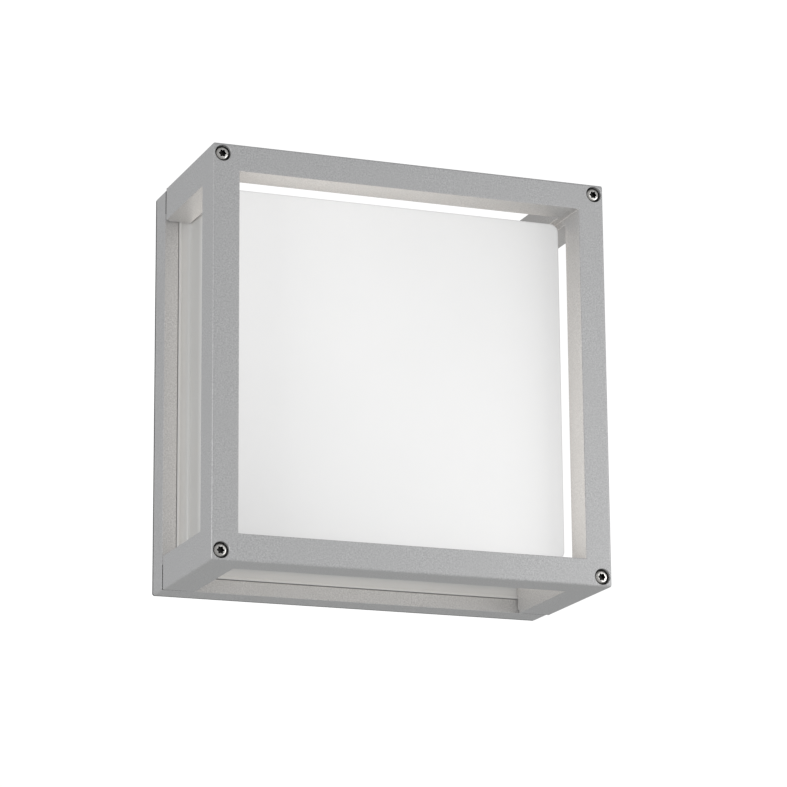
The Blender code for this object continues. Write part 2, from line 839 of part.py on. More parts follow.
def make_terminal_screws(material):
    foot = PLATE_FLOOR + BLOCK_HEIGHT - TERMINAL_WELL_DEPTH + 2 * TOUCH_GAP
    profile = [
        (0, TERMINAL_SCREW_LENGTH),
        (TERMINAL_SCREW_RADIUS, TERMINAL_SCREW_LENGTH),
        (TERMINAL_SCREW_RADIUS, 0),
        (0, 0),
    ]
    for pole, pole_name in enumerate(("earth", "live", "neutral"), start=-1):
        for z, side in ((-TERMINAL_OFFSET, "lamp"), (TERMINAL_OFFSET, "mains")):
            name = "terminal_screw_" + pole_name + "_" + side
            turned(name, profile, at(pole * POLE_SPACING, foot, z), OUT, material, SMALL_STEPS)


def earth_seat():
    return EARTH_BOSS_TOP + TOUCH_GAP


def make_earth_ring(material):
    """The ring terminal under the earth screw, with its tongue towards the wire."""
    profile = [
        (EARTH_RING_HOLE, EARTH_RING_SHEET),
        (EARTH_RING_RADIUS, EARTH_RING_SHEET),
        (EARTH_RING_RADIUS, 0),
        (EARTH_RING_HOLE, 0),
    ]
    low = earth_seat()
    ring = turned("earth_ring", profile, at(EARTH_X, low, EARTH_Z), OUT, material, SMALL_STEPS)
    start, end = EARTH_TONGUE
    tongue = box(
        "earth tongue",
        (EARTH_X + start, low, EARTH_Z - EARTH_TONGUE_HALF),
        (EARTH_X + end, low + EARTH_RING_SHEET, EARTH_Z + EARTH_TONGUE_HALF),
    )
    join(ring, tongue)
    return ring


def make_earth_screw(material):
    height = earth_seat() + EARTH_RING_SHEET + TOUCH_GAP
    place = at(EARTH_X, height, EARTH_Z)
    return small_screw("earth_screw", place, OUT, SHORT_SCREW_LENGTH, material)


def make_lamp_wires(live_sleeve, neutral_sleeve):
    """The sleeved leads from the terminal block, through the bush, to the lampholder."""
    start_z = 0.003 - BLOCK_HALF_Z
    crossing = 0.010
    leads = [
        ("wire_live", 0, -1, live_sleeve),
        ("wire_neutral", POLE_SPACING, 1, neutral_sleeve),
    ]
    for name, start_x, side, sleeve in leads:
        bush_x = side * 0.0022
        end_x = side * WIRE_ENTRY_X
        route = [
            at(start_x, WIRE_WAY_H, start_z),
            at(start_x, WIRE_WAY_H, start_z - 0.010),
            at((start_x + bush_x) / 2, crossing, -0.045),
            at(bush_x, crossing, -0.078),
            at(bush_x, crossing + 0.005, WIRE_HOLE_Z + 0.003),
            at(bush_x, crossing + 0.014, WIRE_HOLE_Z),
            at(bush_x, LAMP_AXIS_H - 0.016, WIRE_HOLE_Z - 0.001),
            at(end_x, LAMP_AXIS_H - 0.003, WIRE_HOLE_Z + 0.002),
            at(end_x, LAMP_AXIS_H, HOLDER_BACK_Z - 0.005),
            at(end_x, LAMP_AXIS_H, HOLDER_BACK_Z + 0.004),
        ]
        wire(name, route, sleeve)


def make_earth_wire(sleeve):
    start_z = 0.003 - BLOCK_HALF_Z
    lug_end = at(EARTH_X + 0.0125, EARTH_BOSS_TOP + 0.0007, EARTH_Z)
    route = [
        at(-POLE_SPACING, WIRE_WAY_H, start_z),
        at(-POLE_SPACING, WIRE_WAY_H, start_z - 0.008),
        at(-POLE_SPACING - 0.006, WIRE_WAY_H + 0.001, EARTH_Z + 0.001),
        lug_end + Vector((0.006, 0, 0)),
        lug_end,
    ]
    wire("wire_earth", route, sleeve)


# ---------------------------------------------------------------- assembly

clear_scene()
parts = new_collection("outdoor_wall_lantern")
cutters = new_collection("cutters")

coated_silver = finish_material("silver powder coat", (0.36, 0.36, 0.37), 0.42, 0.35)
opal = finish_material("opal polycarbonate", (0.86, 0.86, 0.84), 0.30)
stainless = finish_material("stainless steel", (0.60, 0.59, 0.57), 0.25, 1.0)
zinc = finish_material("zinc-plated steel", (0.55, 0.55, 0.54), 0.35, 1.0)
white_coat = finish_material("white enamel", (0.80, 0.80, 0.78), 0.35)
black_rubber = finish_material("black rubber", (0.02, 0.02, 0.02), 0.75)
grey_foam = finish_material("grey foam rubber", (0.09, 0.09, 0.09), 0.90)
white_silicone = finish_material("white silicone", (0.70, 0.70, 0.68), 0.50)
ceramic = finish_material("glazed porcelain", (0.78, 0.77, 0.73), 0.20)
brass = finish_material("nickel-plated brass", (0.62, 0.58, 0.48), 0.25, 1.0)
white_plastic = finish_material("white moulded plastic", (0.75, 0.75, 0.74), 0.40)
black_glass = finish_material("black cap insulator", (0.03, 0.03, 0.03), 0.20)
sleeve_brown = finish_material("brown sleeve", (0.16, 0.07, 0.03), 0.55)
sleeve_blue = finish_material("blue sleeve", (0.03, 0.10, 0.35), 0.55)
sleeve_green = finish_material("green and yellow sleeve", (0.20, 0.42, 0.05), 0.55)

make_back_plate(coated_silver)
make_wall_seal(grey_foam)
make_cable_grommet(black_rubber)
make_fixing_grommets(black_rubber)
make_cage(coated_silver)
make_diffuser(opal)
make_diffuser_gasket(white_silicone)
make_cage_screws(stainless)
make_screw_washers(black_rubber)
make_reflector_tray(white_coat)
make_reflector_screws(zinc)
make_wire_bush(white_plastic)
make_lamp_bracket(zinc)
make_bracket_screws(zinc)
make_holder_screws(zinc)
make_lampholder_housing(ceramic)
make_lampholder_shell(brass)
make_lampholder_contact(brass)
make_lamp_cap(brass)
make_lamp_cap_insulator(black_glass)
make_lamp_body(white_plastic)
make_lamp_globe(opal)
make_terminal_block(white_plastic)
make_terminal_screws(zinc)
make_earth_ring(brass)
make_earth_screw(zinc)
make_lamp_wires(sleeve_brown, sleeve_blue)
make_earth_wire(sleeve_green)
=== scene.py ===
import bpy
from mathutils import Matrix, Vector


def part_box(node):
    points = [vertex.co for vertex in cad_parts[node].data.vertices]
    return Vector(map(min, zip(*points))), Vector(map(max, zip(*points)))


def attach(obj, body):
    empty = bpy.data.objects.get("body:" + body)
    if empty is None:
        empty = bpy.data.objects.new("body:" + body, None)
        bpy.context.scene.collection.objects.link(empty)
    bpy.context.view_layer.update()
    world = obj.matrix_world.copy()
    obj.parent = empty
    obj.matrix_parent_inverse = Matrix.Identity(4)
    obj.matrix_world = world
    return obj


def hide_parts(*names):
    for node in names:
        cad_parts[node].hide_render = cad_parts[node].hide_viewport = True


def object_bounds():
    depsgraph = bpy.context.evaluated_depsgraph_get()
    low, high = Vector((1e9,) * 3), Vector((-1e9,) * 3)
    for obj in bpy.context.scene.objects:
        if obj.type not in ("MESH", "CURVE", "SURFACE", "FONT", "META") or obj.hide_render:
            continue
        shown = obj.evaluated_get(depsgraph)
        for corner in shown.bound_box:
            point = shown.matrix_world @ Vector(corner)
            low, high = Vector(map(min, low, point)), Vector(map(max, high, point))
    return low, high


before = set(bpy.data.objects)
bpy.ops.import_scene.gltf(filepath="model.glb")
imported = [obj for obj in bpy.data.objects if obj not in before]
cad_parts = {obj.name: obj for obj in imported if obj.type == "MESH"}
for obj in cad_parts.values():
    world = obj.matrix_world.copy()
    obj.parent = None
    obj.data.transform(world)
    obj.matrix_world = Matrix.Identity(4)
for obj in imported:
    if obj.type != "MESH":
        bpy.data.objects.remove(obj)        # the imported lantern: bodies, nodes, joints and record
cad_box = [list(corner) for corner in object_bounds()]

import math

import bmesh
import bpy
from mathutils import Matrix, Quaternion, Vector


# ---------------------------------------------------------------- Studio
# A plain white sweep of light, a soft lamp on each side of the lantern, a small one that
# catches its screws, and a pale floor well below. The camera stands low and to the left, as
# a person looks up at a wall light, far enough away that the square front keeps its shape.

def linear(hex_colour):
    """An sRGB hex colour as a linear colour with alpha 1."""
    channels = [int(hex_colour[start:start + 2], 16) / 255 for start in (0, 2, 4)]
    return (*[c / 12.92 if c <= 0.04045 else ((c + 0.055) / 1.055) ** 2.4 for c in channels], 1.0)


def feed(tree, node, inputs):
    """Fills a node's inputs, each with a value or from a node or an output to link from."""
    for name, value in inputs.items():
        if isinstance(value, bpy.types.Node):
            value = next(output for output in value.outputs if output.enabled)
        if isinstance(value, bpy.types.NodeSocket):
            tree.links.new(value, node.inputs[name])
        else:
            node.inputs[name].default_value = value


def add_node(tree, kind, inputs=None, **settings):
    """Adds a node with its settings and fills its inputs."""
    node = tree.nodes.new(kind)
    for name, value in settings.items():
        setattr(node, name, value)
    feed(tree, node, inputs or {})
    return node


def new_material(name, surface):
    """A material with its Principled shader's own constants set."""
    material = bpy.data.materials.new(name)
    material.use_nodes = True
    tree = material.node_tree
    shader = tree.nodes["Principled BSDF"]
    for socket, value in surface.items():
        shader.inputs[socket].default_value = value
    return material, tree, shader


camera_azimuth = math.radians(-21.07)
camera_elevation = math.radians(-14.58)
camera_roll = math.radians(-0.45)
camera_distance = 2.095
camera_lens = 158.1
look_at = Vector((0.0092, -0.058, -0.0019))
forward = Vector((
    -math.sin(camera_azimuth) * math.cos(camera_elevation),
    math.cos(camera_azimuth) * math.cos(camera_elevation),
    -math.sin(camera_elevation),
))
camera = bpy.data.objects.new("camera", bpy.data.cameras.new("camera"))
camera.data.lens = camera_lens
camera.data.sensor_width = 36
camera.location = look_at - forward * camera_distance
camera.rotation_mode = "QUATERNION"
camera.rotation_quaternion = (
    forward.to_track_quat("-Z", "Y") @ Quaternion((0, 0, 1), camera_roll)
)
bpy.context.scene.collection.objects.link(camera)
bpy.context.scene.camera = camera
bpy.context.scene.view_settings.view_transform = "Standard"

world = bpy.data.worlds.new("white sweep")
bpy.context.scene.world = world
world.use_nodes = True
sky = world.node_tree
sky.nodes.clear()
ambient = add_node(sky, "ShaderNodeBackground", {"Color": linear("F7F8FA"), "Strength": 0.48})
backdrop = add_node(sky, "ShaderNodeBackground", {"Color": linear("FFFFFF"), "Strength": 1.05})
ray = add_node(sky, "ShaderNodeLightPath")
seen = add_node(sky, "ShaderNodeMixShader", {0: ray.outputs["Is Camera Ray"], 1: ambient, 2: backdrop})
add_node(sky, "ShaderNodeOutputWorld", {"Surface": seen})


def soft_light(name, place, size, power, colour):
    """A square soft light aimed at the lantern."""
    data = bpy.data.lights.new(name, "AREA")
    data.size = size
    data.energy = power
    data.color = linear(colour)[:3]
    light = bpy.data.objects.new(name, data)
    light.location = place
    light.rotation_euler = (look_at - place).to_track_quat("-Z", "Y").to_euler()
    bpy.context.scene.collection.objects.link(light)
    return light


soft_light("soft light right", Vector((1.10, -1.10, -0.10)), 0.9, 7.4, "FFFFFF")
soft_light("soft light left", Vector((-1.30, -0.50, -0.20)), 0.8, 7.8, "FFFFFF")
soft_light("small light on the screws", Vector((0.62, -1.60, 0.45)), 0.30, 0.55, "FFFFFF")

floor_half = 30.0
floor_height = -1.1
paper, paper_tree, paper_shader = new_material("matt pale paper", {"Roughness": 0.9})
paper_place = add_node(paper_tree, "ShaderNodeTexCoord")
paper_fibre = add_node(paper_tree, "ShaderNodeTexNoise", {
    "Vector": paper_place.outputs["Object"], "Scale": 40.0
})
paper_tone = add_node(
    paper_tree,
    "ShaderNodeMix",
    {0: paper_fibre, 6: linear("F4F4F2"), 7: linear("F9F9F7")},
    data_type="RGBA",
)
feed(paper_tree, paper_shader, {"Base Color": paper_tone})
floor_bm = bmesh.new()
bmesh.ops.create_grid(floor_bm, x_segments=1, y_segments=1, size=floor_half)
bmesh.ops.translate(floor_bm, vec=(0, 0, floor_height), verts=floor_bm.verts)
floor_mesh = bpy.data.meshes.new("floor")
floor_bm.to_mesh(floor_mesh)
floor_bm.free()
floor_mesh.materials.append(paper)
floor = bpy.data.objects.new("floor", floor_mesh)
bpy.context.scene.collection.objects.link(floor)


# ---------------------------------------------------------------- Back plate
# A die-cast aluminium tray, powder coated with the cage. Its rim carries the cage's legs,
# a step inside it seats the diffuser's gasket, and cast bosses hold the reflector tray.
# It is drilled for the cable, four wall screws, four cage screws and the earth screw.

def at(x, h, z):
    """A point at x, h out from the wall, and z."""
    return Vector((x, -h, z))


def four(offset):
    """The corners' names with their x and z at this offset from the centre."""
    signs = {
        "top_left": (-1, 1), "top_right": (1, 1), "bottom_left": (-1, -1), "bottom_right": (1, -1)
    }
    return [(name, x * offset, z * offset) for name, (x, z) in signs.items()]


def softened(outline, closed=False, steps=4):
    """Rounds the corners of an outline, whose points each end in a rounding radius."""
    points = []
    for index, (*place, radius) in enumerate(outline):
        here = Vector(place)
        if radius == 0 or (not closed and index in (0, len(outline) - 1)):
            points.append(here)
            continue
        before = Vector(outline[index - 1][:-1]) - here
        after = Vector(outline[(index + 1) % len(outline)][:-1]) - here
        reach = min(radius, 0.49 * before.length, 0.49 * after.length)
        start = here + before.normalized() * reach
        end = here + after.normalized() * reach
        for step in range(steps + 1):
            t = step / steps
            points.append((1 - t) ** 2 * start + 2 * t * (1 - t) * here + t * t * end)
    return points


def add_piece(name, mesh, material=None):
    piece = bpy.data.objects.new(name, mesh)
    bpy.context.scene.collection.objects.link(piece)
    if material:
        mesh.materials.clear()
        mesh.materials.append(material)
    return piece


def piece_from(bm, name, material=None):
    """Merges a bmesh's doubles, turns its faces outwards and makes it an object."""
    bmesh.ops.remove_doubles(bm, verts=bm.verts, dist=0.000001)
    bmesh.ops.recalc_face_normals(bm, faces=bm.faces)
    mesh = bpy.data.meshes.new(name)
    bm.to_mesh(mesh)
    bm.free()
    return add_piece(name, mesh, material)


def square_piece(name, outline, material=None, closed=False, corner_steps=8):
    """Carries an outline of (half width, height, corner radius) round a square.

    An outline that isn't closed is capped flat at both of its ends.
    """
    bm = bmesh.new()
    rings = []
    for half, height, radius in outline:
        ring = []
        for corner in range(4):
            quarter = corner * math.pi / 2
            middle = (half - radius) * math.sqrt(2)
            cx = middle * math.cos(quarter + math.pi / 4)
            cz = middle * math.sin(quarter + math.pi / 4)
            for step in range(corner_steps + 1):
                turn = quarter + math.pi / 2 * step / corner_steps
                point = at(cx + radius * math.cos(turn), height, cz + radius * math.sin(turn))
                ring.append(bm.verts.new(point))
        rings.append(ring)
    pairs = list(zip(rings, rings[1:]))
    if closed:
        pairs.append((rings[-1], rings[0]))
    else:
        bm.faces.new(rings[0])
        bm.faces.new(rings[-1])
    for first, second in pairs:
        for index in range(len(first)):
            following = (index + 1) % len(first)
            bm.faces.new((first[index], first[following], second[following], second[index]))
    return piece_from(bm, name, material)


def rod(radius, start, end, chamfer=0.0, steps=48):
    """A cylinder between two points, as a cutter or a boss. A chamfer widens its end."""
    along = end - start
    bm = bmesh.new()
    bmesh.ops.create_cone(
        bm, cap_ends=True, segments=steps, radius1=radius, radius2=radius, depth=along.length
    )
    bmesh.ops.translate(bm, vec=(0, 0, along.length / 2), verts=bm.verts)
    if chamfer:
        bmesh.ops.bisect_plane(
            bm,
            geom=bm.verts[:] + bm.edges[:] + bm.faces[:],
            plane_co=(0, 0, along.length - chamfer),
            plane_no=(0, 0, 1),
        )
        for vert in bm.verts:
            if vert.co.z > along.length - chamfer / 2:
                vert.co.x *= 1 + chamfer / radius
                vert.co.y *= 1 + chamfer / radius
    turn = along.to_track_quat("Z", "Y").to_matrix().to_4x4()
    bm.transform(Matrix.Translation(start) @ turn)
    return piece_from(bm, "rod")


def brick(low, high):
    """A box between two corners given as (x, h, z), as a cutter."""
    first = at(*low)
    second = at(*high)
    bm = bmesh.new()
    bmesh.ops.create_cube(bm, size=1.0)
    bmesh.ops.scale(bm, vec=[abs(v) for v in second - first], verts=bm.verts)
    bmesh.ops.translate(bm, vec=(first + second) / 2, verts=bm.verts)
    return piece_from(bm, "brick")


def bake(piece):
    """Turns a piece with its modifiers into a plain mesh."""
    graph = bpy.context.evaluated_depsgraph_get()
    mesh = bpy.data.meshes.new_from_object(piece.evaluated_get(graph), depsgraph=graph)
    piece.modifiers.clear()
    piece.data = mesh
    return piece


def combine(piece, others, operation="DIFFERENCE"):
    """Cuts the other solids out of a piece, or joins them to it, and removes them."""
    for other in others:
        modifier = piece.modifiers.new("combine", "BOOLEAN")
        modifier.operation = operation
        modifier.object = other
    bake(piece)
    for other in others:
        bpy.data.objects.remove(other)
    return piece


def smooth(piece, angle=40, weighted=True):
    """Smooth shading that keeps sharp edges sharp and flat faces flat."""
    piece.data.shade_smooth()
    piece.data.set_sharp_from_angle(angle=math.radians(angle))
    if weighted:
        normals = piece.modifiers.new("flat faces", "WEIGHTED_NORMAL")
        normals.keep_sharp = True
    return piece


def powder_coat(joint_inner, joint_outer, joint_height, joint_reach):
    """Fine-textured silver powder coat: a dry, slightly metallic grey with a pin-sized grain.

    The joint faces between the plate and the cage's legs are painted near black: painted shade
    in the seam between them. The grain is drawn about five times as coarse as the real one, so
    that it shows.
    """
    grain = 0.0009
    cloud = 0.030
    relief = 0.00006
    material, tree, shader = new_material(
        "fine texture silver powder coat", {"Roughness": 0.40, "Metallic": 0.30}
    )
    place = add_node(tree, "ShaderNodeTexCoord").outputs["Object"]
    fine = add_node(tree, "ShaderNodeTexNoise", {"Vector": place, "Scale": 1 / grain, "Detail": 3.0})
    wide = add_node(tree, "ShaderNodeTexNoise", {"Vector": place, "Scale": 1 / cloud})
    spread = add_node(tree, "ShaderNodeMapRange", {0: fine, 1: 0.3, 2: 0.7})
    grained = add_node(
        tree, "ShaderNodeMix", {0: spread, 6: linear("9F9FA0"), 7: linear("D3D3D3")}, data_type="RGBA"
    )
    clouded = add_node(
        tree, "ShaderNodeMix", {0: wide, 6: grained, 7: linear("BABABA")}, data_type="RGBA"
    )
    # Painted shade: faces near the seam under the cage's legs are coloured near black.
    axes = add_node(tree, "ShaderNodeSeparateXYZ", {0: place}).outputs
    x_size = add_node(tree, "ShaderNodeMath", {0: axes[0]}, operation="ABSOLUTE")
    z_size = add_node(tree, "ShaderNodeMath", {0: axes[2]}, operation="ABSOLUTE")
    smaller = add_node(tree, "ShaderNodeMath", {0: x_size, 1: z_size}, operation="MINIMUM")
    larger = add_node(tree, "ShaderNodeMath", {0: x_size, 1: z_size}, operation="MAXIMUM")
    under_leg = add_node(tree, "ShaderNodeMath", {0: smaller, 1: joint_inner}, operation="GREATER_THAN")
    within = add_node(tree, "ShaderNodeMath", {0: larger, 1: joint_outer}, operation="LESS_THAN")
    near_joint = add_node(
        tree, "ShaderNodeMath", {0: axes[1], 1: -joint_height, 2: joint_reach}, operation="COMPARE"
    )
    leg_print = add_node(tree, "ShaderNodeMath", {0: under_leg, 1: within}, operation="MULTIPLY")
    painted_seam_shade = add_node(tree, "ShaderNodeMath", {0: leg_print, 1: near_joint}, operation="MULTIPLY")
    finished = add_node(
        tree, "ShaderNodeMix", {0: painted_seam_shade, 6: clouded, 7: linear("242424")}, data_type="RGBA"
    )
    bump = add_node(tree, "ShaderNodeBump", {"Height": fine, "Strength": 0.5, "Distance": relief})
    feed(tree, shader, {"Base Color": finished, "Normal": bump})
    return material


# Where the coat is painted near black as shade in the seam under the cage's legs.
joint_inner = 0.1092
joint_outer = 0.1243
joint_height = 0.0212
joint_reach = 0.0021
silver_coat = powder_coat(joint_inner, joint_outer, joint_height, joint_reach)
plate_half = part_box("back_plate")[1].x
plate_depth = 0.020
rim_height = plate_depth - 0.0003
seat_half = 0.1159
seat_height = 0.0135
cavity_half = 0.1079
plate_floor = 0.004
plate_corner = 0.0014
rim_rounding = 0.0004
seal_inner = 0.109
seal_outer = 0.115
seal_depth = 0.0025
lip_depth = 0.0020
touch_gap = 0.0003
past = 0.010
screw_offset = 0.119

plate_outline = softened([
    (0.020, plate_floor, 0.001, 0),
    (cavity_half, plate_floor, 0.003, 0.0020),
    (cavity_half, seat_height, 0.003, 0.0004),
    (seat_half, seat_height, 0.002, 0.0006),
    (seat_half, rim_height, 0.002, 0.0004),
    (plate_half, rim_height, plate_corner, rim_rounding),
    (plate_half, lip_depth, plate_corner, 0.0002),
    (seal_outer + touch_gap, lip_depth, 0.002, 0.0002),
    (seal_outer + touch_gap, seal_depth, 0.002, 0.0002),
    (seal_inner - touch_gap, seal_depth, 0.002, 0.0002),
    (seal_inner - touch_gap, 0, 0.002, 0.0002),
    (seal_inner - 0.001, 0, 0.002, 0),
])
back_plate = square_piece("back_plate_casting", plate_outline, silver_coat)
boss_offset = 0.092
boss_top = 0.0197
boss_radius = 0.004
earth_x = -0.045
earth_z = -0.022
earth_top = 0.009
earth_radius = 0.0055
rooted = plate_floor / 2
bosses = [rod(boss_radius, at(x, rooted, z), at(x, boss_top, z)) for _, x, z in four(boss_offset)]
bosses.append(rod(earth_radius, at(earth_x, rooted, earth_z), at(earth_x, earth_top, earth_z)))
combine(back_plate, bosses, "UNION")
cable_z = 0.045
cable_hole = 0.011
fixing_offset = 0.075
fixing_hole = 0.0035
small_hole = 0.0018
earth_hole = 0.0021
screw_bore = 0.0023
bore_chamfer = 0.0004
pilot_floor = 0.010
bore_floor = 0.008
proud = 0.0001
holes = [
    rod(small_hole, at(x, pilot_floor, z), at(x, boss_top + past, z)) for _, x, z in four(boss_offset)
]
holes += [rod(fixing_hole, at(x, -past, z), at(x, past, z)) for _, x, z in four(fixing_offset)]
holes += [
    rod(screw_bore, at(x, bore_floor, z), at(x, plate_depth + proud, z), bore_chamfer)
    for _, x, z in four(screw_offset)
]
holes.append(rod(earth_hole, at(earth_x, rooted, earth_z), at(earth_x, past * 2, earth_z)))
holes.append(rod(cable_hole, at(0, -past, cable_z), at(0, past, cable_z), steps=64))
combine(back_plate, holes)
smooth(back_plate)
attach(back_plate, "plate")
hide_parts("back_plate")


# ---------------------------------------------------------------- Wall seal
# A square of closed-cell foam rubber, pressed into the groove of the plate's rear face,
# with a thin lip out to the plate's edge. The black lip also stands in for the shade where
# the plate meets the wall: painted shade. It keeps rain from running behind the light. It
# is dull black with open pores.

def porous_rubber(name, dark, light, pore, roughness):
    """Rubber with fine pores: a dull, almost even surface."""
    material, tree, shader = new_material(name, {"Roughness": roughness, "IOR": 1.52})
    place = add_node(tree, "ShaderNodeTexCoord").outputs["Object"]
    pores = add_node(tree, "ShaderNodeTexVoronoi", {"Vector": place, "Scale": 1 / pore})
    tone = add_node(
        tree,
        "ShaderNodeMix",
        {0: pores.outputs["Distance"], 6: linear(dark), 7: linear(light)},
        data_type="RGBA",
    )
    bump = add_node(tree, "ShaderNodeBump", {
        "Height": pores.outputs["Distance"], "Strength": 0.4, "Distance": pore / 8
    })
    feed(tree, shader, {"Base Color": tone, "Normal": bump})
    return material


# The lip out to the plate's edge is painted shade where the plate meets the wall.
lip_half = plate_half - 0.0001
seal_outline = softened([
    (lip_half, 0, plate_corner, 0.0002),
    (lip_half, lip_depth - 0.0001, plate_corner, 0.0002),
    (seal_outer, lip_depth - 0.0001, 0.002, 0.0002),
    (seal_outer, 0.0022, 0.002, 0.0005),
    (seal_inner, 0.0022, 0.002, 0.0009),
    (seal_inner, 0, 0.002, 0.0009),
], closed=True)
foam = porous_rubber("closed cell foam rubber", "232323", "3A3A3A", 0.0006, 0.92)
wall_seal = smooth(square_piece("wall_seal_cord", seal_outline, foam, closed=True), weighted=False)
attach(wall_seal, "plate")
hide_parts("wall_seal")


# ---------------------------------------------------------------- Grommets
# Black EPDM rubber: one large cable inlet with a thin sealing lip in the plate's entry
# hole, and four bushes in the holes for the wall screws. They snap in by hand. Round
# pieces are turned by Geometry Nodes from an outline of (radius, length) points.

def tree_with(name, sockets):
    """A Geometry Nodes tree with named inputs, and its input and output nodes."""
    tree = bpy.data.node_groups.new(name, "GeometryNodeTree")
    tree.interface.new_socket("Geometry", in_out="INPUT", socket_type="NodeSocketGeometry")
    for socket, kind in sockets.items():
        tree.interface.new_socket(socket, in_out="INPUT", socket_type="NodeSocket" + kind)
    tree.interface.new_socket("Geometry", in_out="OUTPUT", socket_type="NodeSocketGeometry")
    return tree, add_node(tree, "NodeGroupInput"), add_node(tree, "NodeGroupOutput")


def coated(tree, shape, given, result):
    """Ends a tree: its shape is made real and given the tree's material."""
    real = add_node(tree, "GeometryNodeRealizeInstances", {"Geometry": shape})
    finished = add_node(tree, "GeometryNodeSetMaterial", {
        "Geometry": real, "Material": given.outputs["Material"]
    })
    feed(tree, result, {0: finished})
    return tree


def run_tree(piece, tree, values):
    """Adds a tree to a piece, sets its named inputs by their identifiers and bakes it."""
    modifier = piece.modifiers.new(tree.name, "NODES")
    modifier.node_group = tree
    for item in tree.interface.items_tree:
        if item.in_out == "INPUT" and item.name in values:
            modifier[item.identifier] = values[item.name]
    return bake(piece)


def make_turning_tree():
    """Turns an outline round Z, with a rolled thread between two lengths of it."""
    tree, given, result = tree_with("turned from an outline", {
        "Steps Round": "Int",
        "Thread Depth": "Float",
        "Thread Pitch": "Float",
        "Thread Start": "Float",
        "Thread End": "Float",
        "Material": "Material",
    })
    outline = given.outputs["Geometry"]
    steps = given.outputs["Steps Round"]
    count = add_node(tree, "GeometryNodeAttributeDomainSize", {"Geometry": outline})
    columns = add_node(tree, "ShaderNodeMath", {0: steps, 1: 1.0}, operation="ADD")
    grid = add_node(tree, "GeometryNodeMeshGrid", {"Vertices X": columns, "Vertices Y": count})
    index = add_node(tree, "GeometryNodeInputIndex")
    row = add_node(tree, "ShaderNodeMath", {0: index, 1: count}, operation="FLOORED_MODULO")
    outlines = add_node(tree, "ShaderNodeMath", {0: index, 1: count}, operation="DIVIDE")
    column = add_node(tree, "ShaderNodeMath", {0: outlines}, operation="FLOOR")
    share = add_node(tree, "ShaderNodeMath", {0: column, 1: steps}, operation="DIVIDE")
    turn = add_node(tree, "ShaderNodeMath", {0: share, 1: math.tau}, operation="MULTIPLY")
    position = add_node(tree, "GeometryNodeInputPosition")
    point = add_node(
        tree,
        "GeometryNodeSampleIndex",
        {"Geometry": outline, "Value": position, "Index": row},
        data_type="FLOAT_VECTOR",
    )
    parts = add_node(tree, "ShaderNodeSeparateXYZ", {0: point}).outputs
    radius = parts[0]
    length = parts[2]
    pitches = add_node(
        tree, "ShaderNodeMath", {0: length, 1: given.outputs["Thread Pitch"]}, operation="DIVIDE"
    )
    advance = add_node(tree, "ShaderNodeMath", {0: pitches, 1: share}, operation="SUBTRACT")
    phase = add_node(tree, "ShaderNodeMath", {0: advance, 1: math.tau}, operation="MULTIPLY")
    crest = add_node(tree, "ShaderNodeMath", {0: phase}, operation="COSINE")
    wave = add_node(tree, "ShaderNodeMath", {0: crest, 1: 1.0}, operation="SUBTRACT")
    after_start = add_node(
        tree, "ShaderNodeMath", {0: length, 1: given.outputs["Thread Start"]}, operation="GREATER_THAN"
    )
    before_end = add_node(
        tree, "ShaderNodeMath", {0: length, 1: given.outputs["Thread End"]}, operation="LESS_THAN"
    )
    inside = add_node(tree, "ShaderNodeMath", {0: after_start, 1: before_end}, operation="MULTIPLY")
    half_depth = add_node(
        tree, "ShaderNodeMath", {0: given.outputs["Thread Depth"], 1: 0.5}, operation="MULTIPLY"
    )
    endless = add_node(tree, "ShaderNodeMath", {0: wave, 1: half_depth}, operation="MULTIPLY")
    groove = add_node(tree, "ShaderNodeMath", {0: endless, 1: inside}, operation="MULTIPLY")
    threaded = add_node(tree, "ShaderNodeMath", {0: radius, 1: groove}, operation="ADD")
    cosine = add_node(tree, "ShaderNodeMath", {0: turn}, operation="COSINE")
    sine = add_node(tree, "ShaderNodeMath", {0: turn}, operation="SINE")
    x = add_node(tree, "ShaderNodeMath", {0: threaded, 1: cosine}, operation="MULTIPLY")
    y = add_node(tree, "ShaderNodeMath", {0: threaded, 1: sine}, operation="MULTIPLY")
    place = add_node(tree, "ShaderNodeCombineXYZ", {0: x, 1: y, 2: length})
    turned_mesh = add_node(tree, "GeometryNodeSetPosition", {
        "Geometry": grid.outputs["Mesh"], "Position": place
    })
    merged = add_node(tree, "GeometryNodeMergeByDistance", {
        "Geometry": turned_mesh, "Distance": 0.000001
    })
    return coated(tree, merged, given, result)


turning = make_turning_tree()


def turned(name, outline, place, facing, material=None, closed=False, steps=64, thread=None):
    """A round piece from (radius, length) points, on an axis through place.

    A thread is its (depth, pitch, start, end).
    """
    points = [Vector((radius, 0, length)) for radius, length in outline]
    if closed:
        points.append(points[0])
    mesh = bpy.data.meshes.new(name)
    mesh.from_pydata(points, [(i, i + 1) for i in range(len(points) - 1)], [])
    piece = add_piece(name, mesh)
    depth, pitch, start, end = thread or (0.0, 1.0, 0.0, 0.0)
    run_tree(piece, turning, {
        "Steps Round": steps,
        "Thread Depth": depth,
        "Thread Pitch": pitch,
        "Thread Start": start,
        "Thread End": end,
        "Material": material,
    })
    bm = bmesh.new()
    bm.from_mesh(piece.data)
    bmesh.ops.recalc_face_normals(bm, faces=bm.faces)
    turn = facing.to_track_quat("Z", "Y").to_matrix().to_4x4()
    bm.transform(Matrix.Translation(place) @ turn)
    bm.to_mesh(piece.data)
    bm.free()
    return smooth(piece, weighted=False)


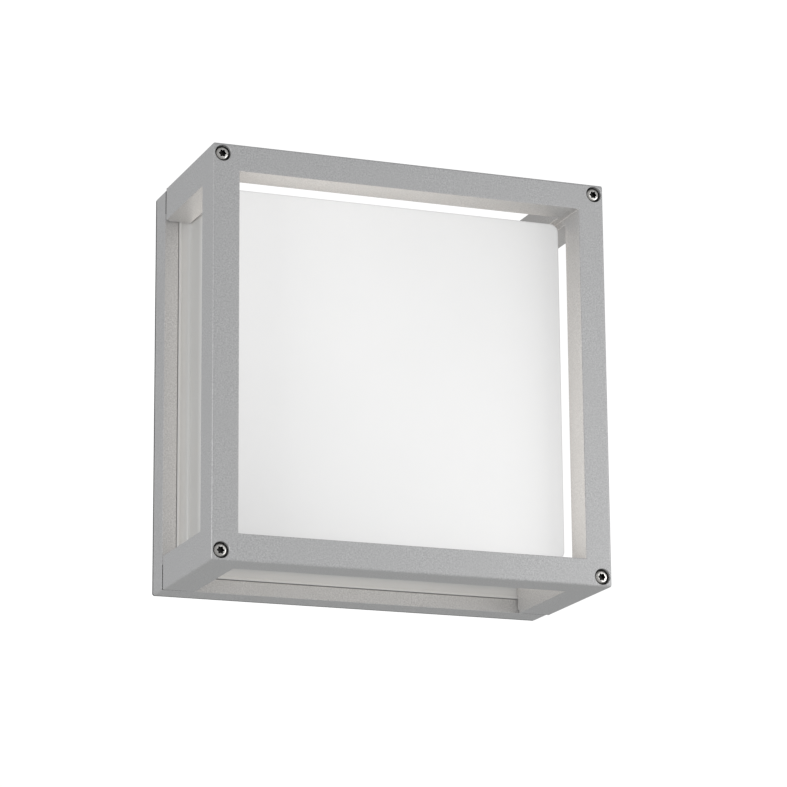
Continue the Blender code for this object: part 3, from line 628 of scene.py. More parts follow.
def make_placing_tree():
    """Puts a copy of one object at each point, each turned its own way about an axis."""
    tree, given, result = tree_with("copies at points", {
        "Item": "Object", "Turn Axis": "Vector", "Seed": "Int", "Material": "Material"
    })
    item = add_node(tree, "GeometryNodeObjectInfo", {"Object": given.outputs["Item"]})
    angle = add_node(
        tree,
        "FunctionNodeRandomValue",
        {2: 0.0, 3: math.tau, "Seed": given.outputs["Seed"]},
        data_type="FLOAT",
    )
    turn = add_node(
        tree, "ShaderNodeVectorMath", {0: given.outputs["Turn Axis"], "Scale": angle}, operation="SCALE"
    )
    copies = add_node(tree, "GeometryNodeInstanceOnPoints", {
        "Points": given.outputs["Geometry"], "Instance": item.outputs["Geometry"], "Rotation": turn
    })
    return coated(tree, copies, given, result)


placing = make_placing_tree()


def copies_at(name, item, places, axis, material, seed):
    """One piece of like items, made from one item that is then removed."""
    mesh = bpy.data.meshes.new(name)
    mesh.from_pydata(places, [], [])
    piece = add_piece(name, mesh)
    run_tree(piece, placing, {
        "Item": item, "Turn Axis": axis, "Seed": seed, "Material": material
    })
    bpy.data.objects.remove(item)
    return smooth(piece, weighted=False)


out = Vector((0, -1, 0))
up = Vector((0, 0, 1))
centre = Vector((0, 0, 0))
inside = plate_floor + touch_gap
black_rubber = porous_rubber("black EPDM rubber", "161616", "262626", 0.0004, 0.62)
cable_neck = cable_hole - touch_gap
grommet_outline = softened([
    (0.0045, inside + 0.0060, 0.0004),
    (0.0060, inside + 0.0060, 0.0004),
    (0.0080, inside + 0.0020, 0.0008),
    (0.0140, inside + 0.0020, 0.0006),
    (0.0140, inside, 0.0003),
    (cable_neck, inside, 0.0003),
    (cable_neck, touch_gap, 0.0004),
    (cable_neck - 0.0020, touch_gap, 0.0004),
    (cable_neck - 0.0020, inside - 0.0010, 0.0006),
    (0.0062, inside, 0.0006),
    (0.0045, inside + 0.0045, 0.0004),
], closed=True)
cable_grommet = turned(
    "cable_inlet_grommet", grommet_outline, at(0, 0, cable_z), out, black_rubber, closed=True
)
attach(cable_grommet, "plate")
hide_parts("cable_grommet")

fixing_neck = fixing_hole - touch_gap
bush_outline = softened([
    (0.0022, inside + 0.0015, 0.0004),
    (0.0060, inside + 0.0015, 0.0006),
    (0.0060, inside, 0.0002),
    (fixing_neck, inside, 0.0002),
    (fixing_neck, touch_gap, 0.0003),
    (0.0022, touch_gap, 0.0003),
], closed=True)
bush = turned("bush", bush_outline, centre, out, closed=True, steps=32)
fixing_places = [at(x, 0, z) for _, x, z in four(fixing_offset)]
fixing_grommets = copies_at("wall_screw_bushes", bush, fixing_places, out, black_rubber, 1)
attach(fixing_grommets, "plate")
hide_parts(*["fixing_grommet_" + name for name, _, _ in four(1)])


# ---------------------------------------------------------------- Terminal block
# A three-pole block moulded in natural polyamide, screwed down inside the plate. Each
# pole has two wells with a zinc-plated clamping screw, lamp side below and mains above.

def moulded_plastic(name, colour, shade, roughness, speck=0.0015):
    """Moulded thermoplastic: even colour, a soft spark-eroded mould texture."""
    material, tree, shader = new_material(name, {"Roughness": roughness, "IOR": 1.53})
    place = add_node(tree, "ShaderNodeTexCoord").outputs["Object"]
    flow = add_node(tree, "ShaderNodeTexNoise", {"Vector": place, "Scale": 1 / 0.012})
    grain = add_node(tree, "ShaderNodeTexNoise", {"Vector": place, "Scale": 1 / speck})
    tone = add_node(
        tree, "ShaderNodeMix", {0: flow, 6: linear(colour), 7: linear(shade)}, data_type="RGBA"
    )
    bump = add_node(tree, "ShaderNodeBump", {"Height": grain, "Strength": 0.15, "Distance": speck / 20})
    feed(tree, shader, {"Base Color": tone, "Normal": bump})
    return material


def plated_metal(name, colour, tint, roughness, grain):
    """Bright plated or bare metal: its tone and gloss drift a little over each face."""
    material, tree, shader = new_material(name, {"Metallic": 1.0})
    place = add_node(tree, "ShaderNodeTexCoord").outputs["Object"]
    drift = add_node(tree, "ShaderNodeTexNoise", {"Vector": place, "Scale": 1 / grain})
    fine = add_node(tree, "ShaderNodeTexNoise", {"Vector": place, "Scale": 5 / grain, "Detail": 4.0})
    tone = add_node(
        tree, "ShaderNodeMix", {0: drift, 6: linear(colour), 7: linear(tint)}, data_type="RGBA"
    )
    gloss = add_node(tree, "ShaderNodeMapRange", {0: fine, 3: roughness * 0.75, 4: roughness * 1.25})
    feed(tree, shader, {"Base Color": tone, "Roughness": gloss})
    return material


def make_recess_tree():
    """Sinks a lobed driving recess into the end of a screw that faces +Z."""
    tree, given, result = tree_with("driving recess", {
        "Lobes": "Float",
        "Radius": "Float",
        "Lobe Depth": "Float",
        "Depth": "Float",
        "Top": "Float",
        "Material": "Material",
        "Recess Material": "Material",
    })
    tool_depth = add_node(
        tree, "ShaderNodeMath", {0: given.outputs["Depth"], 1: 2.0}, operation="MULTIPLY"
    )
    tool = add_node(tree, "GeometryNodeMeshCylinder", {
        "Vertices": 72, "Radius": 1.0, "Depth": tool_depth
    })
    position = add_node(tree, "GeometryNodeInputPosition")
    parts = add_node(tree, "ShaderNodeSeparateXYZ", {0: position}).outputs
    angle = add_node(tree, "ShaderNodeMath", {0: parts[1], 1: parts[0]}, operation="ARCTAN2")
    lobed_angle = add_node(
        tree, "ShaderNodeMath", {0: angle, 1: given.outputs["Lobes"]}, operation="MULTIPLY"
    )
    ripple = add_node(tree, "ShaderNodeMath", {0: lobed_angle}, operation="COSINE")
    wave = add_node(
        tree, "ShaderNodeMath", {0: ripple, 1: given.outputs["Lobe Depth"]}, operation="MULTIPLY"
    )
    radius = add_node(tree, "ShaderNodeMath", {0: given.outputs["Radius"], 1: wave}, operation="ADD")
    x = add_node(tree, "ShaderNodeMath", {0: parts[0], 1: radius}, operation="MULTIPLY")
    y = add_node(tree, "ShaderNodeMath", {0: parts[1], 1: radius}, operation="MULTIPLY")
    z = add_node(tree, "ShaderNodeMath", {0: parts[2], 1: given.outputs["Top"]}, operation="ADD")
    place = add_node(tree, "ShaderNodeCombineXYZ", {0: x, 1: y, 2: z})
    shaped = add_node(tree, "GeometryNodeSetPosition", {
        "Geometry": tool.outputs["Mesh"], "Position": place
    })
    marked = add_node(
        tree,
        "GeometryNodeStoreNamedAttribute",
        {"Geometry": shaped, "Name": "recess", "Value": 1.0},
        data_type="FLOAT",
        domain="FACE",
    )
    sunk = add_node(
        tree,
        "GeometryNodeMeshBoolean",
        {"Mesh 1": given.outputs["Geometry"], "Mesh 2": marked},
        operation="DIFFERENCE",
        solver="EXACT",
    )
    real = add_node(tree, "GeometryNodeRealizeInstances", {"Geometry": sunk.outputs["Mesh"]})
    plain = add_node(tree, "GeometryNodeSetMaterial", {
        "Geometry": real, "Material": given.outputs["Material"]
    })
    mark = add_node(tree, "GeometryNodeInputNamedAttribute", {"Name": "recess"}, data_type="FLOAT")
    in_recess = add_node(tree, "ShaderNodeMath", {0: mark, 1: 0.5}, operation="GREATER_THAN")
    recessed = add_node(tree, "GeometryNodeSetMaterial", {
        "Geometry": plain, "Selection": in_recess, "Material": given.outputs["Recess Material"]
    })
    feed(tree, result, {0: recessed})
    return tree


recess = make_recess_tree()


def screw(name, head, shank, length, drive, thread, facing, finish, place=centre):
    """A pan-head screw with its underside at place.

    head is (radius, height), drive is (lobes, radius, lobe depth, depth), thread is
    (depth, pitch, threaded length), and finish is the materials of screw and recess.
    """
    head_radius, head_height = head
    depth, pitch, threaded = thread
    crown = head_radius * 0.80
    side = head_height * 0.68
    softness = head_radius * 0.15
    neck = 0.0002
    outline = [
        *softened([
            (0, head_height, 0),
            (crown, head_height * 0.98, softness),
            (head_radius, side, softness),
            (head_radius, 0, head_height * 0.12),
            (shank * 1.02, 0, 0),
        ]),
        (shank, -neck),
    ]
    smooth_end = threaded - length
    rows_per_turn = 8
    rows = int(threaded / pitch * rows_per_turn)
    tip = 0.6 * shank
    outline += [(shank, smooth_end - (threaded - tip) * row / rows) for row in range(rows + 1)]
    outline += [(shank * 0.55, -length), (0, -length)]
    thread_run = (depth, pitch, -length + tip / 2, smooth_end)
    piece = turned(name, outline, centre, up, steps=32, thread=thread_run)
    lobes, radius, lobe_depth, recess_depth = drive
    run_tree(piece, recess, {
        "Lobes": float(lobes),
        "Radius": radius,
        "Lobe Depth": lobe_depth,
        "Depth": recess_depth,
        "Top": head_height,
        "Material": finish[0],
        "Recess Material": finish[1],
    })
    turn = facing.to_track_quat("Z", "Y").to_matrix().to_4x4()
    piece.data.transform(Matrix.Translation(place) @ turn)
    return smooth(piece, weighted=False)


nylon = moulded_plastic("natural polyamide", "E6E4DC", "DEDBD2", 0.55)
zinc = plated_metal("zinc plated steel", "C9CCD0", "B9BDC3", 0.34, 0.004)
block_low, block_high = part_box("terminal_block")
pole_spacing = 0.010
terminal_offset = 0.004
well_depth = 0.006
well_radius = 0.0023
well_chamfer = 0.0003
wire_way_h = 0.0072
wire_way_radius = 0.0019
slot_half = 0.0006
slot_floor = wire_way_h + 0.0038
block_height = -block_low.y
terminal_block = brick(
    (block_low.x, -block_high.y, block_low.z), (block_high.x, block_height, block_high.z)
)
terminal_block.name = "terminal_block_moulding"
edges = terminal_block.modifiers.new("moulded edges", "BEVEL")
edges.width = 0.0007
edges.segments = 3
bake(terminal_block)
wells = [
    rod(well_radius, at(pole * pole_spacing, block_height - well_depth, z),
        at(pole * pole_spacing, block_height + proud, z), well_chamfer)
    for pole in (-1, 0, 1)
    for z in (-terminal_offset, terminal_offset)
]
wells += [
    rod(wire_way_radius, at(pole * pole_spacing, wire_way_h, block_low.z - past),
        at(pole * pole_spacing, wire_way_h, block_high.z + past))
    for pole in (-1, 0, 1)
]
wells += [
    brick((x - slot_half, slot_floor, block_low.z - past),
          (x + slot_half, block_height + past, block_high.z + past))
    for x in (-pole_spacing / 2, pole_spacing / 2)
]
combine(terminal_block, wells)
terminal_block.data.materials.clear()
terminal_block.data.materials.append(nylon)
smooth(terminal_block)
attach(terminal_block, "plate")
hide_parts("terminal_block")

clamp_height = 0.0030
clamp_radius = 0.0018
clamp_outline = softened([
    (0, clamp_height, 0), (clamp_radius, clamp_height, 0.0002), (clamp_radius, 0, 0.0002), (0, 0, 0)
])
clamp = turned("clamp", clamp_outline, centre, up, steps=32)
run_tree(clamp, recess, {
    "Lobes": 2.0,
    "Radius": 0.00085,
    "Lobe Depth": 0.00060,
    "Depth": 0.0010,
    "Top": clamp_height,
    "Material": zinc,
    "Recess Material": zinc,
})
clamp.data.transform(out.to_track_quat("Z", "Y").to_matrix().to_4x4())
clamp_h = block_height - well_depth + touch_gap
clamp_places = [
    at(pole * pole_spacing, clamp_h, z)
    for pole in (-1, 0, 1)
    for z in (-terminal_offset, terminal_offset)
]
terminal_screws = copies_at("terminal_clamp_screws", clamp, clamp_places, out, zinc, 2)
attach(terminal_screws, "plate")
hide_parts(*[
    "terminal_screw_" + pole + "_" + side
    for pole in ("earth", "live", "neutral")
    for side in ("lamp", "mains")
])


# ---------------------------------------------------------------- Earth point
# A nickel-plated ring terminal crimped to the earth lead, held on its cast boss by a
# zinc-plated pan-head screw.

nickel = plated_metal("nickel plated brass", "D6D0C2", "C8C0AE", 0.24, 0.006)
ring_h = earth_top + touch_gap
ring_sheet = 0.0008
ring_outline = softened([
    (0.0023, ring_sheet, 0.0001),
    (0.0046, ring_sheet, 0.0002),
    (0.0046, 0, 0.0002),
    (0.0023, 0, 0.0001),
], closed=True)
ring_place = at(earth_x, ring_h, earth_z)
earth_ring = turned("earth_ring_terminal", ring_outline, ring_place, out, nickel, closed=True)
tongue = brick(
    (earth_x + 0.0034, ring_h, earth_z - 0.0016),
    (earth_x + 0.0110, ring_h + ring_sheet, earth_z + 0.0016),
)
combine(earth_ring, [tongue], "UNION")
smooth(earth_ring)
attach(earth_ring, "plate")
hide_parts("earth_ring")

small_head = (0.0030, 0.0018)
small_shank = 0.0015
small_drive = (4, 0.00105, 0.00045, 0.0010)
small_pitch = (0.00030, 0.0005)
short_length = 0.006
short_thread = (*small_pitch, 0.005)
all_zinc = (zinc, zinc)
earth_screw = screw(
    "earth_clamp_screw",
    small_head,
    small_shank,
    short_length,
    small_drive,
    short_thread,
    out,
    all_zinc,
    at(earth_x, ring_h + ring_sheet + touch_gap, earth_z),
)
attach(earth_screw, "plate")
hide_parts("earth_screw")


# ---------------------------------------------------------------- Leads
# Stranded leads in heat-proof sleeves, 2.4 mm across: brown and blue from the terminal
# block through the tray to the lampholder, and a green and yellow one to the earth ring.

def make_sleeve_tree():
    """A sleeve along a route, which records how far along it is."""
    tree, given, result = tree_with("sleeve along a route", {
        "Radius": "Float", "Sides": "Int", "Material": "Material"
    })
    run = add_node(tree, "GeometryNodeSplineParameter").outputs["Length"]
    route = add_node(
        tree,
        "GeometryNodeStoreNamedAttribute",
        {"Geometry": given.outputs["Geometry"], "Name": "run", "Value": run},
        data_type="FLOAT",
        domain="POINT",
    )
    circle = add_node(tree, "GeometryNodeCurvePrimitiveCircle", {
        "Resolution": given.outputs["Sides"], "Radius": given.outputs["Radius"]
    })
    tube = add_node(tree, "GeometryNodeCurveToMesh", {
        "Curve": route, "Profile Curve": circle, "Fill Caps": True
    })
    return coated(tree, tube, given, result)


sleeving = make_sleeve_tree()


def sleeve_finish(name, colour, stripe, lay):
    """Braided sleeve, with a band of the second colour once in every lay of the twist."""
    braid = 0.0012
    band_share = 0.55
    material, tree, shader = new_material(name, {"Roughness": 0.50, "IOR": 1.45})
    run = add_node(tree, "ShaderNodeAttribute", attribute_name="run").outputs["Fac"]
    lays = add_node(tree, "ShaderNodeMath", {0: run, 1: lay}, operation="DIVIDE")
    turn = add_node(tree, "ShaderNodeMath", {0: lays}, operation="FRACT")
    band = add_node(tree, "ShaderNodeMath", {0: turn, 1: band_share}, operation="GREATER_THAN")
    tone = add_node(
        tree, "ShaderNodeMix", {0: band, 6: linear(colour), 7: linear(stripe)}, data_type="RGBA"
    )
    place = add_node(tree, "ShaderNodeTexCoord").outputs["Object"]
    weave = add_node(tree, "ShaderNodeTexWave", {
        "Vector": place, "Scale": 1 / braid, "Distortion": 0.4
    })
    bump = add_node(tree, "ShaderNodeBump", {
        "Height": weave.outputs["Fac"], "Strength": 0.2, "Distance": braid / 24
    })
    feed(tree, shader, {"Base Color": tone, "Normal": bump})
    return material


def smooth_route(points, per_span=10):
    """Points along a Catmull-Rom curve through a lead's own points."""
    ends = [2 * points[0] - points[1], *points, 2 * points[-1] - points[-2]]
    route = []
    for a, b, c, d in zip(ends, ends[1:], ends[2:], ends[3:]):
        for step in range(per_span):
            t = step / per_span
            bend = (2 * a - 5 * b + 4 * c - d) * t * t + (3 * b - a - 3 * c + d) * t ** 3
            route.append(0.5 * (2 * b + (c - a) * t + bend))
    return [*route, points[-1]]


def lead(name, points, material, node):
    route = smooth_route(points)
    curve = bpy.data.curves.new(name, "CURVE")
    curve.dimensions = "3D"
    spline = curve.splines.new("POLY")
    spline.points.add(len(route) - 1)
    for point, place in zip(spline.points, route):
        point.co = (*place, 1)
    path = bpy.data.objects.new("route", curve)
    bpy.context.scene.collection.objects.link(path)
    modifier = path.modifiers.new("sleeve", "NODES")
    modifier.node_group = sleeving
    values = {"Radius": 0.0012, "Sides": 16, "Material": material}
    for item in sleeving.interface.items_tree:
        if item.in_out == "INPUT" and item.name in values:
            modifier[item.identifier] = values[item.name]
    graph = bpy.context.evaluated_depsgraph_get()
    mesh = bpy.data.meshes.new_from_object(path.evaluated_get(graph), depsgraph=graph)
    bpy.data.objects.remove(path)
    piece = smooth(add_piece(name, mesh), weighted=False)
    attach(piece, "plate")
    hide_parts(node)
    return piece


brown = sleeve_finish("brown glass fibre sleeve", "5B3A22", "4E301B", 0.004)
blue = sleeve_finish("blue glass fibre sleeve", "24509A", "1E4688", 0.004)
green_yellow = sleeve_finish("green and yellow sleeve", "3E8A2E", "E6C81E", 0.007)
lead_start = block_low.z + 0.003
crossing = 0.010
bush_z = -0.094
lamp_axis_h = 0.055
holder_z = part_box("lampholder_housing")[0].z
lead_entry = 0.0045
for name, node, start_x, side, sleeve, slot in (
    ("live_lead", "wire_live", 0, -1, brown, "sleeve_brown"),
    ("neutral_lead", "wire_neutral", pole_spacing, 1, blue, "sleeve_blue"),
):
    bush_x = side * 0.0022
    end_x = side * lead_entry
    lead(name, [
        at(start_x, wire_way_h, lead_start),
        at(start_x, wire_way_h, lead_start - 0.010),
        at((start_x + bush_x) / 2, crossing, -0.045),
        at(bush_x, crossing, -0.078),
        at(bush_x, crossing + 0.005, bush_z + 0.003),
        at(bush_x, crossing + 0.014, bush_z),
        at(bush_x, lamp_axis_h - 0.016, bush_z - 0.001),
        at(end_x, lamp_axis_h - 0.003, bush_z + 0.002),
        at(end_x, lamp_axis_h, holder_z - 0.005),
        at(end_x, lamp_axis_h, holder_z + 0.004),
    ], sleeve, node)
lug_end = at(earth_x + 0.0125, earth_top + 0.0007, earth_z)
lead("earth_lead", [
    at(-pole_spacing, wire_way_h, lead_start),
    at(-pole_spacing, wire_way_h, lead_start - 0.008),
    at(-pole_spacing - 0.006, wire_way_h + 0.001, earth_z + 0.001),
    lug_end + Vector((0.006, 0, 0)),
    lug_end,
], green_yellow, "wire_earth")


# ---------------------------------------------------------------- Reflector tray
# A shallow pan pressed from 1 mm steel and enamelled white, which covers the wiring and
# throws the light forwards. Four zinc-plated screws hold it to the plate's bosses.

def enamel():
    """Glossy white stove enamel with a faint orange peel."""
    peel = 0.0025
    material, tree, shader = new_material(
        "white stove enamel", {"Roughness": 0.22, "Coat Weight": 0.3, "Coat Roughness": 0.1}
    )
    place = add_node(tree, "ShaderNodeTexCoord").outputs["Object"]
    noise = add_node(tree, "ShaderNodeTexNoise", {"Vector": place, "Scale": 1 / peel})
    tone = add_node(
        tree, "ShaderNodeMix", {0: noise, 6: linear("ECEBE6"), 7: linear("F3F2EE")}, data_type="RGBA"
    )
    bump = add_node(tree, "ShaderNodeBump", {"Height": noise, "Strength": 0.2, "Distance": 0.00005})
    feed(tree, shader, {"Base Color": tone, "Normal": bump})
    return material


tray_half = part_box("reflector_tray")[1].x
tray_top = -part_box("reflector_tray")[0].y
tray_skirt = -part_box("reflector_tray")[1].y
tray_sheet = 0.001
tray_outline = softened([
    (0.004, tray_top, 0.0005, 0),
    (tray_half, tray_top, 0.004, 0.0018),
    (tray_half, tray_skirt, 0.004, 0.0003),
    (tray_half - tray_sheet, tray_skirt, 0.003, 0.0003),
    (tray_half - tray_sheet, tray_top - tray_sheet, 0.003, 0.0009),
    (0.004, tray_top - tray_sheet, 0.0005, 0),
])
tray = square_piece("reflector_pan", tray_outline, enamel())
bracket_foot = 0.026
bracket_sheet = 0.0015
bracket_face = holder_z - touch_gap
foot_screw_z = bracket_face + bracket_foot - 0.008
foot_screw_x = 0.012
low = tray_top - 0.005
high = tray_top + past
lead_hole = 0.006
tray_holes = [rod(small_hole, at(x, low, z), at(x, high, z)) for _, x, z in four(boss_offset)]
tray_holes += [
    rod(small_hole, at(x, low, foot_screw_z), at(x, high, foot_screw_z))
    for x in (-foot_screw_x, foot_screw_x)
]
tray_holes.append(rod(lead_hole, at(0, low, bush_z), at(0, high, bush_z)))
combine(tray, tray_holes)
smooth(tray)
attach(tray, "plate")
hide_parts("reflector_tray")

tray_length = 0.009
tray_thread = (*small_pitch, 0.008)
tray_screw = screw(
    "tray screw", small_head, small_shank, tray_length, small_drive, tray_thread, out, all_zinc
)
tray_places = [at(x, tray_top + touch_gap, z) for _, x, z in four(boss_offset)]
tray_screws = copies_at("reflector_pan_screws", tray_screw, tray_places, out, zinc, 3)
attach(tray_screws, "plate")
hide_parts(*["reflector_screw_" + name for name, _, _ in four(1)])

bush_top = tray_top + touch_gap
bush_low = tray_top - tray_sheet - touch_gap
wire_bush_outline = softened([
    (0.0045, bush_top + 0.001, 0.0004),
    (0.0072, bush_top + 0.001, 0.0004),
    (0.0072, bush_top, 0.0002),
    (0.0057, bush_top, 0.0001),
    (0.0057, bush_low, 0.0001),
    (0.0068, bush_low, 0.0002),
    (0.0068, bush_low - 0.001, 0.0004),
    (0.0045, bush_low - 0.001, 0.0004),
], closed=True)
wire_bush = turned("lead_bush", wire_bush_outline, at(0, 0, bush_z), out, nylon, closed=True)
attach(wire_bush, "plate")
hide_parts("wire_bush")


# ---------------------------------------------------------------- Lamp bracket
# A strip of 1.5 mm zinc-plated steel bent to an L. Two screws fix its foot to the tray,
# and two through its riser hold the lampholder.

bracket_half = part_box("lamp_bracket")[1].x
bracket_top = -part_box("lamp_bracket")[0].y
bracket_low = tray_top + touch_gap
bend = 0.0035
strip = [Vector((bracket_face - bracket_sheet, bracket_top))]
for angle in range(0, 91, 9):
    turn = math.radians(angle)
    strip.append(Vector((
        bracket_face - bracket_sheet + bend * (1 - math.cos(turn)),
        bracket_low + bend * (1 - math.sin(turn)),
    )))
strip.append(Vector((bracket_face + bracket_foot, bracket_low)))
bracket_bm = bmesh.new()
rows = [
    [bracket_bm.verts.new(at(x, h, z)) for z, h in strip] for x in (-bracket_half, bracket_half)
]
for index in range(len(strip) - 1):
    bracket_bm.faces.new((rows[0][index], rows[0][index + 1], rows[1][index + 1], rows[1][index]))
bracket_mesh = bpy.data.meshes.new("bracket_strip")
bracket_bm.to_mesh(bracket_mesh)
bracket_bm.free()
bracket = add_piece("lamp_bracket_strip", bracket_mesh, zinc)
sheet = bracket.modifiers.new("sheet", "SOLIDIFY")
sheet.thickness = bracket_sheet
sheet.offset = -1.0
sheet.use_even_offset = True
rounded = bracket.modifiers.new("deburred edges", "BEVEL")
rounded.width = 0.0002
rounded.segments = 2
rounded.limit_method = "ANGLE"
rounded.angle_limit = math.radians(60)
bake(bracket)
holder_screw_x = 0.011
riser_back = bracket_face - past
riser_front = bracket_face + past
bracket_holes = [rod(lead_hole, at(0, lamp_axis_h, riser_back), at(0, lamp_axis_h, riser_front))]
bracket_holes += [
    rod(small_hole, at(x, lamp_axis_h, riser_back), at(x, lamp_axis_h, riser_front))
    for x in (-holder_screw_x, holder_screw_x)
]
bracket_holes += [
    rod(small_hole, at(x, bracket_low - past, foot_screw_z), at(x, bracket_low + past, foot_screw_z))
    for x in (-foot_screw_x, foot_screw_x)
]
combine(bracket, bracket_holes)
smooth(bracket)
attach(bracket, "plate")
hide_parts("lamp_bracket")

foot_h = bracket_low + bracket_sheet + touch_gap
holder_back_z = bracket_face - bracket_sheet - touch_gap
for name, node, facing, places, seed in (
    ("bracket_foot_screws", "bracket_screw_", out,
     [at(x, foot_h, foot_screw_z) for x in (-foot_screw_x, foot_screw_x)], 4),
    ("lampholder_screws", "holder_screw_", -up,
     [at(x, lamp_axis_h, holder_back_z) for x in (-holder_screw_x, holder_screw_x)], 5),
):
    item = screw(
        "short screw", small_head, small_shank, short_length, small_drive, short_thread, facing, all_zinc
    )
    pair = copies_at(name, item, places, facing, zinc, seed)
    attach(pair, "plate")
    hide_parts(node + "left", node + "right")


# ---------------------------------------------------------------- Lampholder
# An E27 lampholder: a glazed porcelain cup on the bracket, a rolled shell of nickel-plated
# brass inside it that takes the lamp's thread, and a sprung contact strip at its floor.

def glazed_porcelain():
    """White porcelain under a clear glaze, which pools into slow waves of tone."""
    material, tree, shader = new_material(
        "glazed porcelain", {"Roughness": 0.18, "IOR": 1.5, "Coat Weight": 0.6, "Coat Roughness": 0.04}
    )
    place = add_node(tree, "ShaderNodeTexCoord").outputs["Object"]
    pool = add_node(tree, "ShaderNodeTexNoise", {"Vector": place, "Scale": 1 / 0.009})
    speck = add_node(tree, "ShaderNodeTexNoise", {"Vector": place, "Scale": 1 / 0.0012, "Detail": 4.0})
    tone = add_node(
        tree, "ShaderNodeMix", {0: pool, 6: linear("EDEAE2"), 7: linear("F4F2EC")}, data_type="RGBA"
    )
    bump = add_node(tree, "ShaderNodeBump", {"Height": speck, "Strength": 0.1, "Distance": 0.0001})
    feed(tree, shader, {"Base Color": tone, "Normal": bump})
    return material


holder_place = at(0, lamp_axis_h, holder_z)
holder_length = 0.045
holder_radius = 0.0205
holder_neck = 0.0175
shell_radius = 0.0145
holder_bore = shell_radius + touch_gap
holder_outline = softened([
    (0, 0.010, 0),
    (holder_bore, 0.010, 0.0008),
    (holder_bore, holder_length, 0.0008),
    (holder_radius, holder_length, 0.0012),
    (holder_radius, 0.016, 0.0010),
    (holder_neck, 0.013, 0.0010),
    (holder_neck, 0, 0.0008),
    (0, 0, 0),
])
housing = turned("lampholder_cup", holder_outline, holder_place, up, glazed_porcelain(), steps=96)
lead_entry_radius = 0.0015
entry_depth = 0.0064
entries = []
for offset, radius in ((holder_screw_x, small_hole), (lead_entry, lead_entry_radius)):
    for x in (-offset, offset):
        start = holder_place + Vector((x, 0, -past))
        entries.append(rod(radius, start, start + up * (past + entry_depth)))
combine(housing, entries)
smooth(housing)
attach(housing, "plate")
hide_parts("lampholder_housing")

shell_rows = 60
shell_start = 0.014
shell_end = 0.038
shell_sheet = 0.0005
lamp_pitch = 0.0036
shell_outer = [
    (shell_radius, shell_end - (shell_end - shell_start) * row / shell_rows)
    for row in range(shell_rows + 1)
]
shell_inner = [(radius - shell_sheet, length) for radius, length in reversed(shell_outer)]
shell = turned(
    "lampholder_thread_shell",
    [*shell_outer, *shell_inner],
    holder_place,
    up,
    nickel,
    closed=True,
    thread=(0.0003, lamp_pitch, shell_start + 0.002, shell_end - 0.002),
)
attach(shell, "plate")
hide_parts("lampholder_shell")

contact_low, contact_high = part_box("lampholder_contact")
spring_sheet = 0.0004
spring_rise = contact_high.z - contact_low.z - spring_sheet
contact_bm = bmesh.new()
spring_steps = 24
spring_rows = []
for step in range(spring_steps + 1):
    t = step / spring_steps
    x = contact_low.x + (contact_high.x - contact_low.x) * t
    z = contact_low.z + spring_rise * math.sin(math.pi * t) ** 2
    spring_rows.append([
        contact_bm.verts.new((x, y, z)) for y in (contact_low.y + 0.0005, contact_high.y - 0.0005)
    ])
for first, second in zip(spring_rows, spring_rows[1:]):
    contact_bm.faces.new((first[0], second[0], second[1], first[1]))
contact_mesh = bpy.data.meshes.new("contact")
contact_bm.to_mesh(contact_mesh)
contact_bm.free()
contact = add_piece("centre_contact_spring", contact_mesh, nickel)
strip_thickness = contact.modifiers.new("strip", "SOLIDIFY")
strip_thickness.thickness = spring_sheet
strip_thickness.offset = 1.0
bake(contact)
smooth(contact)
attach(contact, "plate")
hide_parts("lampholder_contact")


# ---------------------------------------------------------------- Lamp
# An E27 LED lamp that screws into the holder: a rolled nickel-plated cap with its black
# insulator and contact button, a moulded white body, and an opal dome pressed onto it.

def opal(name, colour, edge_colour, roughness, glow):
    """Opal plastic that scatters light a few millimetres deep, and glows: the lamp's own glow on
    the lamp's dome, painted glow on the diffuser.
    """
    material, tree, shader = new_material(name, {
        "Roughness": roughness,
        "IOR": 1.58,
        "Subsurface Weight": 0.35,
        "Subsurface Scale": 0.004,
        "Subsurface Radius": (1.0, 0.95, 0.85),
        "Emission Color": linear(glow),
        "Emission Strength": 0.6,
    })
    place = add_node(tree, "ShaderNodeTexCoord").outputs["Object"]
    cloud = add_node(tree, "ShaderNodeTexNoise", {"Vector": place, "Scale": 1 / 0.05})
    tone = add_node(
        tree, "ShaderNodeMix", {0: cloud, 6: linear(colour), 7: linear(edge_colour)}, data_type="RGBA"
    )
    feed(tree, shader, {"Base Color": tone})
    return material, tree, shader


lamp_tip = 0.0125
cap_start = lamp_tip + 0.0035
cap_length = 0.0225
cap_radius = 0.0136
cap_end = cap_start + cap_length
cap_rows = 70
cap_bottom = cap_start + 0.0022
cap_outline = [
    (cap_radius, cap_end - (cap_end - cap_bottom) * row / cap_rows) for row in range(cap_rows + 1)
]
cap_outline += softened([
    (cap_radius, cap_bottom, 0),
    (cap_radius - 0.0012, cap_start + 0.0006, 0.0008),
    (0.0085, cap_start, 0.0004),
    (0.0080, cap_start, 0.0001),
    (cap_radius - 0.0016, cap_bottom, 0.0005),
    (cap_radius - 0.0012, cap_end, 0),
])
lamp_cap = turned(
    "lamp_screw_cap",
    cap_outline,
    holder_place,
    up,
    nickel,
    closed=True,
    steps=96,
    thread=(0.0008, lamp_pitch, cap_bottom + 0.0008, cap_end - 0.0030),
)
insulator_outline = softened([
    (0, cap_start + 0.0012, 0),
    (0.0072, cap_start + 0.0012, 0.0003),
    (0.0072, cap_start - 0.0008, 0.0004),
    (0.0048, lamp_tip + 0.0012, 0.0004),
    (0.0044, lamp_tip + 0.0004, 0.0003),
    (0, lamp_tip + 0.0004, 0),
])
black_glass = moulded_plastic("black cap glass", "101012", "17171A", 0.18)
insulator = turned("lamp_cap_glass", insulator_outline, holder_place, up, black_glass)
